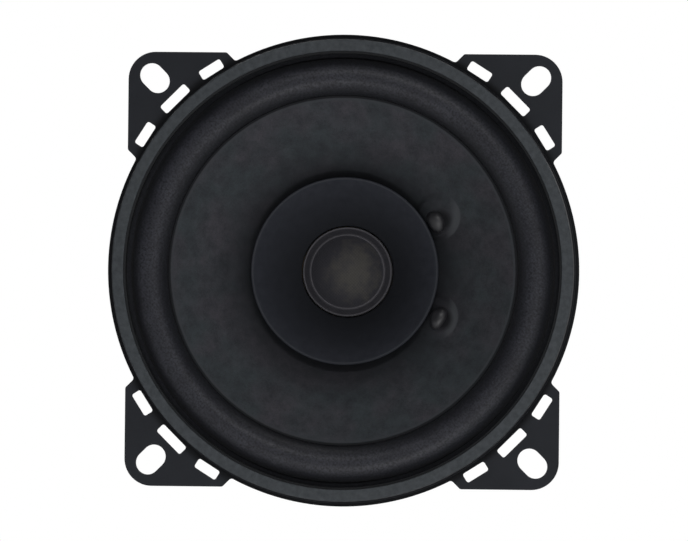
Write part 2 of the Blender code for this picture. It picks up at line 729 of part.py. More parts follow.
def solder_centre(side):
    x = BLADE_X - BLADE_THICKNESS / 2 - GAP - SOLDER_RADIUS * 0.8
    return Vector((x, BLADE_FRONT_Y + SOLDER_RADIUS, side * BLADE_Z))


def make_solder_joint(name, side, parent):
    bm = bmesh.new()
    bmesh.ops.create_uvsphere(bm, u_segments=12, v_segments=6, radius=SOLDER_RADIUS)
    bmesh.ops.scale(bm, verts=bm.verts, vec=(0.8, 1.0, 0.9))
    bmesh.ops.translate(bm, verts=bm.verts, vec=solder_centre(side))
    make_object(name, bm, "solder", parent)


def cone_normal(radius):
    """The rearward unit normal of the main cone at a radius, as (radial, y)."""
    slope = (cone_y(radius + 0.1) - cone_y(radius - 0.1)) / 0.2
    return Vector((-slope, 1.0)).normalized()


def make_lead_dot(name, side, parent):
    """The adhesive dot over one lead where it comes through the cone."""
    steps = 4
    dome = [on_circle(1.0, 90 * i / steps) for i in range(steps)]
    outline = [(0.0, 0.0), *[(DOT_RADIUS * r, -DOT_HEIGHT * y) for r, y in dome], (0.0, -DOT_HEIGHT)]
    bm = turned_mesh(outline, FINE_SEGMENTS)
    bmesh.ops.scale(bm, verts=bm.verts, vec=(0.88, 1.0, 1.12))
    rear = cone_normal(DOT_CIRCLE_RADIUS)
    tilt = Matrix(((rear.y, rear.x, 0), (-rear.x, rear.y, 0), (0, 0, 1)))
    bmesh.ops.rotate(bm, verts=bm.verts, cent=(0, 0, 0), matrix=tilt)
    foot = Vector((DOT_CIRCLE_RADIUS, cone_y(DOT_CIRCLE_RADIUS))) - rear * (GAP + 0.1)
    bmesh.ops.translate(bm, verts=bm.verts, vec=(foot.x, foot.y, 0))
    swing = Matrix.Rotation(math.radians(-side * DOT_ANGLE), 3, "Y")
    bmesh.ops.rotate(bm, verts=bm.verts, cent=(0, 0, 0), matrix=swing)
    make_object(name, bm, "black_adhesive", parent)


def smooth_route(points, per_span):
    """A Catmull-Rom curve through the route's points."""
    ends = [2 * points[0] - points[1], *points, 2 * points[-1] - points[-2]]
    route = []
    for a, b, c, d in zip(ends, ends[1:], ends[2:], ends[3:]):
        for i in range(per_span):
            t = i / per_span
            bend = (2 * a - 5 * b + 4 * c - d) * t**2 + (3 * b - a - 3 * c + d) * t**3
            route.append((2 * b + (c - a) * t + bend) / 2)
    return [*route, points[-1]]


def lead_route(side):
    """From behind the cone at the adhesive dot, in a slack bow, to the solder at the blade."""
    rear = cone_normal(DOT_CIRCLE_RADIUS)
    away = CONE_THICKNESS + GAP
    start = Vector((DOT_CIRCLE_RADIUS, cone_y(DOT_CIRCLE_RADIUS))) + rear * away
    first = start + rear * 2.2
    x1, z1 = on_circle(start.x, side * DOT_ANGLE)
    x2, z2 = on_circle(first.x, side * DOT_ANGLE)
    end = solder_centre(side) - Vector((0.0, SOLDER_RADIUS + GAP + LEAD_RADIUS, 0.0))
    return [
        Vector((x1, start.y, z1)),
        Vector((x2, first.y, z2)),
        Vector((x2 + 4.4, 14.0, side * 10.2)),
        Vector((x2 + 9.4, 14.9, side * 8.6)),
        Vector((end.x - 3.8, 13.4, side * 6.2)),
        end,
    ]


def make_tinsel_lead(name, side, parent):
    points = [point * MM for point in smooth_route(lead_route(side), 3)]
    curve = bpy.data.curves.new(name, "CURVE")
    curve.dimensions = "3D"
    curve.bevel_depth = LEAD_RADIUS * MM
    curve.bevel_resolution = 2
    curve.use_fill_caps = True
    spline = curve.splines.new("POLY")
    spline.points.add(len(points) - 1)
    for target, point in zip(spline.points, points):
        target.co = (*point, 1.0)
    curve.materials.append(make_finish("tinsel_braid"))
    lead = bpy.data.objects.new(name, curve)
    bpy.context.collection.objects.link(lead)
    lead.parent = parent


def build():
    clear_scene()
    fixed = make_empty("fixed_assembly")
    moving = make_empty("moving_assembly")  # slides along Y, the axis that it stands on
    make_basket(fixed)
    make_gasket(fixed)
    make_surround(fixed)
    make_spider(fixed)
    make_motor(fixed)
    make_terminals(fixed)
    make_cone(moving)
    make_whizzer_cone(moving)
    make_dust_cap(moving)
    make_voice_coil(moving)
    make_neck_glue(moving)
    for place, side in (("upper", 1), ("lower", -1)):
        make_solder_joint(f"solder_joint_{place}", side, fixed)
        make_tinsel_lead(f"tinsel_lead_{place}", side, fixed)
        make_lead_dot(f"lead_dot_{place}", side, moving)


build()
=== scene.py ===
"""Looks of a ten centimetre dual-cone car loudspeaker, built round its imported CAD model.

Outlines are in millimetres, as (radius, y) points about the speaker's own axis, which is Y. The
speaker faces -Y. MM turns them into Blender's metres as the meshes are made. Every material is
made of nodes, on the object's own coordinates scaled to millimetres.
"""
import math

import bmesh
import bpy
import numpy as np
from mathutils import Matrix, Vector


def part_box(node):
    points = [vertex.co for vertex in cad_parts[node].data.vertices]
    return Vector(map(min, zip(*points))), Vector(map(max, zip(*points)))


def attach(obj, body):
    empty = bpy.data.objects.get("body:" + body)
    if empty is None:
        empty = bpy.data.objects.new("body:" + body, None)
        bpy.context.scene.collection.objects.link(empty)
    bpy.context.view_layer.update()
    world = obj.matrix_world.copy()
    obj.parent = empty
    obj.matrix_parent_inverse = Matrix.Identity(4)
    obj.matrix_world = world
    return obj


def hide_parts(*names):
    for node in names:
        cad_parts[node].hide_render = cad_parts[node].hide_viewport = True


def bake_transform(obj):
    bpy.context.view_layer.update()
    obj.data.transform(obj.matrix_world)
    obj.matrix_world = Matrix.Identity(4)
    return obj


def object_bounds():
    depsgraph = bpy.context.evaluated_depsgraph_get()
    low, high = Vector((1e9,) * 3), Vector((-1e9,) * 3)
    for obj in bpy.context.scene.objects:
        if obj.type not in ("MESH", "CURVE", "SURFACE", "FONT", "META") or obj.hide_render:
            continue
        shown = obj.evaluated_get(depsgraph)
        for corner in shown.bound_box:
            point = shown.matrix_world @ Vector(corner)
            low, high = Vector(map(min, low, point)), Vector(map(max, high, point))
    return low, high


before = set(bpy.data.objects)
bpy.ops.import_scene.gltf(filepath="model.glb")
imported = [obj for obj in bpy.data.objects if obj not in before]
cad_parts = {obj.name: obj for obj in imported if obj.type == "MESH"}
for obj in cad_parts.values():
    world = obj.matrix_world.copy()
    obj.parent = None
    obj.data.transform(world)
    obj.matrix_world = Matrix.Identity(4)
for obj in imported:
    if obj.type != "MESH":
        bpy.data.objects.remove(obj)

CAD_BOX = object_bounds()
MM = 0.001
FRAME_BODY = "frame_and_motor"
MOVING_BODY = "moving_assembly"
FINE, LARGE, MEDIUM, SMALL = 288, 192, 128, 40  # segments round a ring
DIAGONALS = (45.0, 135.0, 225.0, 315.0)

# ---------------------------------------------------------------- dimensions, in millimetres

RIM, SHEET = 50.8, 0.9  # the flange's round rim, and the thickness of its steel
EAR_HALF_WIDTH, EAR_CORNER, EAR_CHAMFER = 46.8, 5.9, 21.15
SCREW_RING, SCREW_SLOT = 58.15, (7.0, 5.1)
RELIEF_RING, RELIEF_WIDTH = 51.9, 2.2
RELIEFS = ((7.2, 0.0, 0.0), (5.4, 11.1, 1.5), (5.4, -11.1, -1.5))  # length, angle and tilt
WALL_TOP, WALL_FOOT = (43.6, 7.0), (33.2, 19.4)  # the ends of the bowl's slanted wall
LEDGE_Y, FLOOR_Y, FLOOR_HOLE = 20.6, 26.0, 13.0
WINDOW_HALF_SPAN, WINDOW_HALF_LENGTH, WINDOW_CORNER = math.radians(29.0), 6.7, 3.2
TOOL_DEPTHS = (-3.0, 4.0)  # how far the wall's cutters reach inwards and outwards
RIVET_RING, RIVET_SHANK, RIVET_HEAD = 19.5, 1.5, 2.4
TONGUE_Y = 16.0
BLADE_X, BLADE_THICKNESS = 41.6, 0.8
BLADES = ((5.2, 4.8), (-5.2, 2.8))  # each blade's z and its width

GASKET_WALL, GASKET_TOP_INNER, GASKET_STEP = 49.65, 47.2, 0.45
GASKET_FOOT_Y = -2.0  # where its inner part ends, in front of the surround
GASKET_SHADE = (-4.9, -4.2)  # the depths between which shade is painted down its walls
SURROUND_OUTER, SURROUND_SHEET = (49.9, -1.7), 0.4
ROLL_OUTER_FOOT, ROLL_INNER_FOOT = (46.35, -1.7), (37.5, -1.5)
ROLL_MIDDLE, ROLL_HALF_WIDTH, ROLL_FOOT_Y, ROLL_HEIGHT = 41.65, 4.0, -1.65, 3.1
CONE_EDGE, CONE_NECK, CONE_CURVE, CONE_SHEET = (37.4, -2.3), (10.05, 15.8), 1.15, 0.5
WHIZZER_EDGE, WHIZZER_NECK, WHIZZER_CURVE, WHIZZER_SHEET = (20.0, 4.5), (10.0, 14.9), 1.25, 0.4
CAP_RIM, CAP_CREASE, CAP_RISE, CAP_SHEET = (9.68, 14.7), (8.0, 14.5), 3.2, 0.35
DOTS = {1: (23.0, 28.8), -1: (23.2, -26.2)}  # the upper and lower dot: ring radius and angle
DOT_RADIUS, DOT_HEIGHT, DOT_FOOT = 2.2, 1.6, 0.25
SEATS = {1: (23.2, 31.0), -1: (21.8, -26.1)}  # the round seats pressed in the cone under them
SEAT_RADIUS, SEAT_HEIGHT, SEAT_SLOPE = 5.05, 0.85, 1.1
SEAT_HIGHLIGHT_LEAN = 0.14  # how the adhesive film on the seats and its painted highlight lean, as x over z

SPIDER_Y, SPIDER_SHEET, SPIDER_WAVE = 19.8, 0.4, 0.9
SPIDER_WAVES = (26.5, 11.5)  # the radii between which it is corrugated
PLATE_HOLE, MAGNET_HOLE, POLE, BACK_PLATE = 10.75, 14.0, 9.3, 3.5
MAGNET_BEVEL = 0.9
CHIPS = (  # angle, side, angular width and depth of each flake off the magnet's edges
    (0.4, 1, 0.05, 0.35), (1.9, 1, 0.03, 0.25), (3.3, 1, 0.07, 0.45), (4.6, 1, 0.025, 0.3),
    (5.5, 1, 0.04, 0.2), (0.9, -1, 0.04, 0.3), (2.6, -1, 0.06, 0.4), (4.1, -1, 0.03, 0.25),
    (5.9, -1, 0.05, 0.35),
)
FORMER = (9.6, 9.8, 15.5, 33.6)  # inner and outer radius, front and rear
COLLAR = (10.0, 10.3, 17.2, 19.2)
WINDING, WINDING_TURNS = (10.0, 10.35, 25.8, 32.8), 28
STRANDS, STRAND_RADIUS, STRAND_RING, STRAND_PITCH = 3, 0.27, 0.24, 2.4

LAMPS = (  # name, azimuth, elevation, distance, width, height and power
    ("front_top", 7, 30, 1.3, 0.45, 0.18, 5.75),
    ("front_bottom", 7, -30, 1.3, 0.45, 0.18, 5.05),
    ("front_right", 32, 4, 1.2, 0.25, 0.5, 1.2),
    ("back_left", 205, 30, 1.2, 0.6, 0.6, 12.0),
    ("back_right", 130, 25, 1.2, 0.6, 0.6, 10.0),
    ("overhead", 90, 80, 1.2, 0.8, 0.8, 6.0),
)
ROOM_LIGHT, WHITE = 0.03, (1.0, 1.0, 1.0, 1.0)
TABLE_RADIUS, TABLE_DROP = 600.0, 24.0
CAMERA_LENS, CAMERA_DISTANCE, CAMERA_VIEW, CAMERA_ROLL = 389.0, 1.6, (3.4, -1.0), 0.6
CAMERA_AIM = (0.00018, -0.0009, 0.0)

# ---------------------------------------------------------------- shapes


def corners(node):
    """The low and high corners of a CAD node's box, in millimetres."""
    return [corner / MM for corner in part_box(node)]


def extent(node):
    """A turned CAD node's largest radius, front y and rear y, in millimetres."""
    low, high = corners(node)
    return max(high.x, high.z), low.y, high.y


def curve(start, corner, end, steps):
    """A quadratic curve from start to end, drawn towards the corner."""
    shares = [i / steps for i in range(steps + 1)]
    return [tuple(start * (1 - t) ** 2 + corner * 2 * t * (1 - t) + end * t**2) for t in shares]


def fillet(corner, before, after, setback, steps=4):
    """A corner of a line, rounded between its two neighbours."""
    spot = Vector(corner)
    start = spot + (Vector(before) - spot).normalized() * setback
    end = spot + (Vector(after) - spot).normalized() * setback
    return curve(start, spot, end, steps)


def subdivided(line, longest):
    """The same line with points added, so that none of its pieces is longer than that."""
    fine = [line[0]]
    for a, b in zip(line, line[1:]):
        pieces = max(1, math.ceil(math.dist(a, b) / longest))
        for i in range(1, pieces + 1):
            fine.append((a[0] + (b[0] - a[0]) * i / pieces, a[1] + (b[1] - a[1]) * i / pieces))
    return fine


def smooth(value, low, high):
    """0 up to the low value, 1 from the high value on, and a smooth step between."""
    share = min(1.0, max(0.0, (value - low) / (high - low)))
    return share * share * (3 - 2 * share)


def bell(away, width):
    """1 in the middle, falling to 0 at the width on either side."""
    return 1 - smooth(abs(away), width * 0.35, width)


def rounded(points, steps=4):
    """Rounds each (r, y, setback) corner of a line, and holds the flats beside it with a point."""
    spots = [Vector(point[:2]) for point in points]
    line = []
    for i, (corner, point) in enumerate(zip(spots, points)):
        if len(point) < 3:
            line.append(tuple(corner))
            continue
        setback = point[2]
        before = (spots[i - 1] - corner).normalized() * setback
        after = (spots[(i + 1) % len(spots)] - corner).normalized() * setback
        start, end = corner + before, corner + after
        line.append(tuple(start + before * 0.25))
        line += curve(start, corner, end, steps)
        line.append(tuple(end + after * 0.25))
    return line


def offset_line(line, distance):
    """The line moved sideways by a distance, to the side that is rearward for an inward line."""
    spots = [Vector(point) for point in line]
    moved = []
    for i, spot in enumerate(spots):
        before = (spot - spots[i - 1]).normalized() if i else None
        after = (spots[i + 1] - spot).normalized() if i < len(spots) - 1 else None
        along = ((before or after) + (after or before)).normalized()
        normal = Vector((along.y, -along.x))
        first = before or after
        stretch = 1.0 / max(0.6, normal.dot(Vector((first.y, -first.x))))
        moved.append(tuple(spot + normal * distance * stretch))
    return moved


def shell(front, thickness):
    """A sheet's closed outline: its front line, its rear line and, between them, round edges."""
    rear = offset_line(front, thickness)
    return [*front, *half_round(front[-1], rear[-1]), *rear[::-1], *half_round(rear[0], front[0])]


def half_round(start, end, steps=4):
    """The points between start and end of the half circle that closes a sheet's edge."""
    a, b = Vector(start), Vector(end)
    middle, half = (a + b) / 2, (a - b) / 2
    out = Vector((half.y, -half.x))
    points = []
    for i in range(1, steps):
        angle = math.pi * i / steps
        points.append(tuple(middle + half * math.cos(angle) + out * math.sin(angle)))
    return points


def make_object(name, verts, faces, material, sharp=35.0):
    """A mesh object in metres from vertices in millimetres."""
    mesh = bpy.data.meshes.new(name)
    mesh.from_pydata([tuple(c * MM for c in vert) for vert in verts], [], faces)
    return link_mesh(name, mesh, material, sharp)


def object_of(name, bm, material=None, sharp=25.0):
    """A mesh object in metres from a bmesh in millimetres."""
    bmesh.ops.scale(bm, vec=(MM, MM, MM), verts=bm.verts)
    mesh = bpy.data.meshes.new(name)
    bm.to_mesh(mesh)
    bm.free()
    return link_mesh(name, mesh, material, sharp)


def link_mesh(name, mesh, material, sharp):
    """Turns the mesh's normals outwards, shades it and puts its object in the scene."""
    bm = bmesh.new()
    bm.from_mesh(mesh)
    bmesh.ops.recalc_face_normals(bm, faces=bm.faces)
    bm.to_mesh(mesh)
    bm.free()
    shade(mesh, sharp)
    if material:
        mesh.materials.append(material)
    return add_object(name, mesh)


def add_object(name, data):
    item = bpy.data.objects.new(name, data)
    bpy.context.scene.collection.objects.link(item)
    return item


def shade(mesh, sharp):
    """Smooth shading, with the edges over an angle in degrees kept sharp."""
    mesh.shade_smooth()
    mesh.set_sharp_from_angle(angle=math.radians(sharp))


def turned(name, outline, material, segments=MEDIUM, shape=None):
    """Sweeps an outline about Y, closed unless it starts on the axis. shape moves each point."""
    verts, rings = [], []
    for radius, y in outline:
        if not radius:
            rings.append([len(verts)])
            verts.append((0.0, y, 0.0))
            continue
        rings.append(list(range(len(verts), len(verts) + segments)))
        for i in range(segments):
            x, z = on_circle(radius, 360 * i / segments)
            verts.append((x, y, z))
    if outline[0][0]:
        rings.append(rings[0])
    faces = []
    for a, b in zip(rings, rings[1:]):
        for i in range(segments):
            j = (i + 1) % segments
            if len(a) == 1:
                faces.append((a[0], b[j], b[i]))
            elif len(b) == 1:
                faces.append((a[i], a[j], b[0]))
            else:
                faces.append((a[i], a[j], b[j], b[i]))
    if shape:
        verts = [shape(*vert) for vert in verts]
    return make_object(name, verts, faces, material)


def on_circle(radius, degrees):
    """The (x, z) point at a radius and an angle from +X towards +Z."""
    angle = math.radians(degrees)
    return radius * math.cos(angle), radius * math.sin(angle)


def arc(centre, radius, start, end, steps):
    turn = (end - start) / steps
    points = [on_circle(radius, start + turn * i) for i in range(steps + 1)]
    return [(centre[0] + x, centre[1] + z) for x, z in points]


def hole(x, z, radius):
    return arc((x, z), radius, 0, 345, 23)


def rectangle(x_low, x_high, z_low, z_high, corner, steps=5):
    """A rectangle with round corners, anticlockwise from its corner at high x and high z."""
    left, right, bottom, top = x_low + corner, x_high - corner, z_low + corner, z_high - corner
    loop = []
    for quarter, centre in enumerate(((right, top), (left, top), (left, bottom), (right, bottom))):
        loop += arc(centre, corner, 90 * quarter, 90 * quarter + 90, steps)
    return loop


def slot(x_size, z_size, corner, steps):
    """A rectangle with round corners about the origin."""
    return rectangle(-x_size / 2, x_size / 2, -z_size / 2, z_size / 2, corner, steps)


def placed(loop, radius, degrees, tilt=0.0):
    """Moves a loop out along +X by a radius, then turns it about the speaker's axis."""
    spin = Matrix.Rotation(math.radians(tilt), 2)
    swing = Matrix.Rotation(math.radians(degrees), 2)
    return [tuple(swing @ (spin @ Vector(point) + Vector((radius, 0.0)))) for point in loop]


def plate_mesh(loops, front_y, rear_y):
    """A flat plate in the XZ plane: an outer loop, then any hole loops, between two depths."""
    bm = bmesh.new()
    edges = []
    for loop in loops:
        verts = [bm.verts.new((x, front_y, z)) for x, z in loop]
        edges += [bm.edges.new(pair) for pair in zip(verts, verts[1:] + verts[:1])]
    filled = bmesh.ops.triangle_fill(bm, use_beauty=True, use_dissolve=False, edges=edges)
    faces = [item for item in filled["geom"] if isinstance(item, bmesh.types.BMFace)]
    grown = bmesh.ops.extrude_face_region(bm, geom=faces)
    moved = [item for item in grown["geom"] if isinstance(item, bmesh.types.BMVert)]
    bmesh.ops.translate(bm, vec=(0, rear_y - front_y, 0), verts=moved)
    return bm


def add_grid(bm, rows):
    """Adds the faces between neighbouring rows of vertices."""
    for a, b in zip(rows, rows[1:]):
        for i in range(len(a) - 1):
            bm.faces.new((a[i], a[i + 1], b[i + 1], b[i]))


def add_bevel(item, width, segments, angle):
    """Bevels every edge sharper than the angle in degrees."""
    bevel = item.modifiers.new("edges", "BEVEL")
    bevel.width = width * MM
    bevel.segments = segments
    bevel.limit_method = "ANGLE"
    bevel.angle_limit = math.radians(angle)


def cut(item, tool, operation="DIFFERENCE"):
    """Cuts a tool's body out of an item, or joins it on with "UNION"."""
    modifier = item.modifiers.new(operation.lower(), "BOOLEAN")
    modifier.operation = operation
    modifier.object = tool
    modifier.solver = "MANIFOLD"


def apply_modifiers(item, *tools, sharp=25.0):
    """Bakes an object's modifiers into its mesh, and removes the tools that they used."""
    graph = bpy.context.evaluated_depsgraph_get()
    mesh = bpy.data.meshes.new_from_object(item.evaluated_get(graph), depsgraph=graph)
    item.modifiers.clear()
    item.data = mesh
    shade(mesh, sharp)
    for tool in tools:
        bpy.data.objects.remove(tool)


def merge_slivers(item, width=0.003):
    """Removes the faces without area that cutting can leave, and keeps the mesh closed."""
    bm = bmesh.new()
    bm.from_mesh(item.data)
    bmesh.ops.dissolve_degenerate(bm, dist=width * MM, edges=bm.edges)
    bm.to_mesh(item.data)
    bm.free()


# ---------------------------------------------------------------- materials


class Finish:
    """One procedural material: a Principled shader, and short ways to add nodes to it."""

    def __init__(self, name, roughness, metallic=0.0, specular=0.5, sheen=0.0):
        self.material = bpy.data.materials.new(name)
        self.material.use_nodes = True
        self.tree = self.material.node_tree
        self.shader = self.tree.nodes["Principled BSDF"]
        values = {"Roughness": roughness, "Metallic": metallic, "Specular IOR Level": specular,
                  "Sheen Weight": sheen}
        for key, value in values.items():
            self.shader.inputs[key].default_value = value
        where = self.tree.nodes.new("ShaderNodeTexCoord").outputs["Object"]
        self.mm = self.node("ShaderNodeMapping", {0: where, "Scale": (1 / MM,) * 3})

    def node(self, kind, inputs, output=0, **settings):
        """Adds a node with its settings, feeds its inputs and gives one of its outputs."""
        made = self.tree.nodes.new(kind)
        for key, value in settings.items():
            setattr(made, key, value)
        for key, value in inputs.items():
            self.feed(made.inputs[key], value)
        return made.outputs[output]

    def feed(self, socket, value):
        if isinstance(value, bpy.types.NodeSocket):
            self.tree.links.new(value, socket)
        else:
            socket.default_value = value

    def math(self, operation, *values):
        return self.node("ShaderNodeMath", dict(enumerate(values)), operation=operation)

    def plus(self, first, second):
        return self.math("ADD", first, second)

    def minus(self, first, second):
        return self.math("SUBTRACT", first, second)

    def times(self, first, second):
        return self.math("MULTIPLY", first, second)

    def weighed(self, first, second, share):
        """A share of the first value, and the rest of the second."""
        return self.plus(self.times(first, share), self.times(second, 1 - share))

    def noise(self, scale, detail=3.0, roughness=0.5, distortion=0.0, vector=None):
        inputs = {"Vector": vector or self.mm, "Scale": scale, "Detail": detail,
                  "Roughness": roughness, "Distortion": distortion}
        return self.node("ShaderNodeTexNoise", inputs)

    def axes(self):
        return self.node("ShaderNodeSeparateXYZ", {0: self.mm}).node.outputs[:3]

    def scaled(self, parts, factors):
        """A vector of three values, each multiplied by its own factor."""
        scaled = [self.times(part, factor) for part, factor in zip(parts, factors)]
        return self.node("ShaderNodeCombineXYZ", dict(enumerate(scaled)))

    def length(self, x, z):
        return self.math("SQRT", self.plus(self.times(x, x), self.times(z, z)))

    def radius(self):
        """A point's distance from the speaker's axis."""
        x, _, z = self.axes()
        return self.length(x, z)

    def distance(self, x0, z0, wide=1.0, tall=1.0):
        """The distance from a point of the XZ plane, with each axis divided by its own scale."""
        x, _, z = self.axes()
        across = self.math("DIVIDE", self.minus(x, x0), wide)
        along = self.math("DIVIDE", self.minus(z, z0), tall)
        return self.length(across, along)

    def spread(self, value, low, high, new_low=0.0, new_high=1.0, **settings):
        """Maps low to new_low and high to new_high, and stays level beyond them."""
        inputs = {0: value, 1: low, 2: high, 3: new_low, 4: new_high}
        return self.node("ShaderNodeMapRange", inputs, **settings)

    def between(self, value, new_low, new_high):
        """Maps a noise's usual range, 0.3 to 0.7, to another one."""
        return self.spread(value, 0.3, 0.7, new_low, new_high)

    def near(self, value, spot, reach):
        """1 where the value is at the spot, falling to 0 at the reach on either side."""
        away = self.math("ABSOLUTE", self.minus(value, spot))
        return self.spread(away, 0.0, reach, 1.0, 0.0, interpolation_type="SMOOTHSTEP")

    def mix(self, factor, first, second):
        """The first colour where the factor is 0, and the second where it is 1."""
        inputs = {0: factor, 6: rgba(first), 7: rgba(second)}
        return self.node("ShaderNodeMix", inputs, 2, data_type="RGBA")

    def tones(self, value, first, second, low=0.3, high=0.7):
        """The first colour where the value is low, and the second where it is high."""
        return self.mix(self.spread(value, low, high), first, second)

    def weave(self, pitch, wander):
        """A plain weave in the XZ plane: its height, from 0 to 1, on slightly wandering threads."""
        x, _, z = self.axes()
        drift = self.times(self.minus(self.noise(0.35, 2.0), 0.5), wander * pitch * 6)
        turn = math.pi / pitch
        across = self.math("SINE", self.times(self.plus(x, drift), turn))
        along = self.math("SINE", self.times(self.minus(z, drift), turn))
        return self.spread(self.times(across, along), -1.0, 1.0)

    def bump(self, height, distance, strength, under=None):
        """Relief with a height in millimetres, on top of any relief under it."""
        inputs = {"Height": height, "Distance": distance * MM, "Strength": strength}
        if under is not None:
            inputs["Normal"] = under
        return self.node("ShaderNodeBump", inputs)

    def done(self, base, roughness=None, normal=None):
        """Feeds the shader's colour, roughness and normal, and gives the material."""
        for key, value in (("Base Color", base), ("Roughness", roughness), ("Normal", normal)):
            if value is not None:
                self.feed(self.shader.inputs[key], value)
        return self.material


def rgba(value):
    """A colour with its alpha, or the node output that gives one."""
    return value if isinstance(value, bpy.types.NodeSocket) else (*value, 1.0)


def black_paint():
    """Satin black paint on pressed steel, with a slight orange peel, and painted shade in the rim's corner
    beside the gasket.
    """
    f = Finish("black_paint", 0.5, specular=0.15)
    grain = f.noise(3.2, 3.0, 0.6)
    radius = f.radius()
    tone = f.tones(f.noise(0.12), (0.0088, 0.0101, 0.0132), (0.0112, 0.0127, 0.0164))
    # painted shade: the steel darkens in a band round the rim, beside the gasket's wall
    base = f.mix(f.near(radius, RIM - 0.6, 2.1), tone, (0.0035, 0.004, 0.005))
    normal = f.bump(grain, 0.02, 0.4, f.bump(f.noise(1.1, 2.0), 0.05, 0.35))
    dull = f.spread(radius, RIM - 0.8, RIM + 0.8, 0.35, 0.0)
    return f.done(base, f.plus(f.spread(grain, 0.2, 0.8, 0.45, 0.62), dull), normal)


def gasket_foam_skin():
    """Closed-cell foam with a matt skin, a fine grain and soft mottling, with shade painted down its walls
    and on its inner step.
    """
    f = Finish("gasket_foam_skin", 0.6, specular=0.2)
    bloom = f.noise(0.8, 4.0, 0.6)
    grain = f.noise(6.0, 3.0, 0.65)
    radius, y = f.radius(), f.axes()[1]
    blot = f.weighed(bloom, grain, 0.75)
    face = f.tones(blot, (0.0215, 0.0255, 0.0288), (0.0395, 0.0442, 0.0495), 0.36, 0.64)
    # painted shade: darker down the walls, behind the top face
    wall = f.tones(y, face, (0.006, 0.0065, 0.0078), *GASKET_SHADE)
    shelf_edge = GASKET_TOP_INNER - 0.1
    # painted shade: darker on the inner step, with a painted dark line along the top face's inner edge
    shelf = f.tones(radius, (0.006, 0.0068, 0.008), wall, shelf_edge - 0.15, shelf_edge)
    base = f.mix(f.near(radius, shelf_edge - 0.05, 0.16), shelf, (0.005, 0.0055, 0.0065))
    normal = f.bump(grain, 0.04, 0.6, f.bump(bloom, 0.12, 0.4))
    dull = f.spread(y, *GASKET_SHADE, 0.0, 0.28)
    return f.done(base, f.plus(f.spread(grain, 0.25, 0.75, 0.5, 0.7), dull), normal)


def surround_cloth():
    """Black cotton cloth, pressed and doped: a plain weave with shiny flecks, with shade painted in its
    folds and down its right side.
    """
    f = Finish("surround_cloth", 0.8, specular=0.15, sheen=0.02)
    weave = f.weave(0.42, 0.6)
    fleck = f.noise(1.9, 5.0, 0.75)
    radius = f.radius()
    # painted shade: darker in the roll's inner and outer folds; crest is the roll with these painted shades
    inner_fold_shade = f.spread(radius, 38.4, 40.5, 0.24, 1.0)
    outer_fold_shade = f.spread(radius, 43.1, 45.0, 1.0, 0.16)
    # painted shadow: darker towards the right side
    right_side_shade = f.spread(f.axes()[0], 22.0, 42.0, 1.0, 0.78)
    crest = f.times(f.times(inner_fold_shade, outer_fold_shade), right_side_shade)
    flecked = f.spread(fleck, 0.36, 0.64, 0.15, 1.5)
    shade = f.times(f.spread(weave, 0.0, 1.0, 0.7, 1.0), flecked)
    tone = f.tones(f.noise(0.16), (0.0185, 0.0188, 0.024), (0.0268, 0.028, 0.035))
    base = f.mix(f.times(shade, crest), (0.0056, 0.0061, 0.0076), tone)
    normal = f.bump(fleck, 0.05, 0.4, f.bump(weave, 0.03, 0.4))
    dull = f.spread(radius, 44.6, 45.5, 0.0, 0.45)
    return f.done(base, f.plus(f.between(fleck, 0.55, 0.36), dull), normal)


def cone_paper():
    """Black pulp paper, felted, with soft mottling, painted shade and highlights, and adhesive on its two
    seats with a painted highlight.
    """
    f = Finish("cone_paper", 0.85, specular=0.15)
    mottle = f.noise(0.35, 5.0, 0.6)
    fibre = f.noise(2.6, 5.0, 0.65, distortion=1.2)
    radius = f.radius()
    x, _, z = f.axes()
    tone = f.tones(f.noise(0.1), (0.03, 0.0366, 0.0405), (0.0385, 0.0366, 0.0432), 0.4, 0.6)
    paper = f.tones(f.weighed(mottle, fibre, 0.5), (0.016, 0.0176, 0.0206), tone, 0.36, 0.64)
    # painted shadow: the paper darkens towards the right side
    right_side_shade = f.mix(f.spread(x, 16.0, 32.0, 0.0, 0.16), paper, (0.0, 0.0, 0.0))
    # painted shade: darker towards the whizzer, under its edge
    whizzer_shade = f.tones(radius, (0.0066, 0.0073, 0.009), right_side_shade, 19.0, 29.0)
    # painted highlight: a lighter line just inside the cone's edge
    edge_highlighted = f.mix(f.near(radius, CONE_EDGE[0] - 0.55, 0.3), whizzer_shade, (0.027, 0.0295, 0.0332))
    # painted shade: darker at the very edge, in the fold against the surround
    base = f.tones(radius, edge_highlighted, (0.006, 0.0066, 0.008), CONE_EDGE[0] - 0.35, CONE_EDGE[0] - 0.15)
    lean = f.minus(x, f.times(z, SEAT_HIGHLIGHT_LEAN))
    for side, seat in SEATS.items():
        seat_x, seat_z = on_circle(*seat)
        away = f.distance(seat_x, seat_z)
        border = f.spread(away, SEAT_RADIUS - 0.15, SEAT_RADIUS + 0.15, 1.0, 0.0)
        # a lighter patch on the outer side of each seat: adhesive film, with a painted highlight on it
        seat_highlight = f.times(f.spread(away, 2.0, 3.7), border)
        middle = seat_x - SEAT_HIGHLIGHT_LEAN * seat_z
        outward = f.spread(lean, middle + 2.3, middle + 3.9)
        base = f.mix(f.times(seat_highlight, outward), base, (0.0325, 0.0352, 0.0388))
        dot_x, dot_z = on_circle(*DOTS[side])
        # painted shade: darker round the foot of each dot
        dot_foot_shade = f.spread(f.distance(dot_x + 0.3, dot_z), 1.6, 2.8, 0.85, 0.0)
        base = f.mix(dot_foot_shade, base, (0.003, 0.0032, 0.004))
    normal = f.bump(fibre, 0.06, 0.6, f.bump(mottle, 0.12, 0.4))
    return f.done(base, f.between(fibre, 0.78, 0.95), normal)


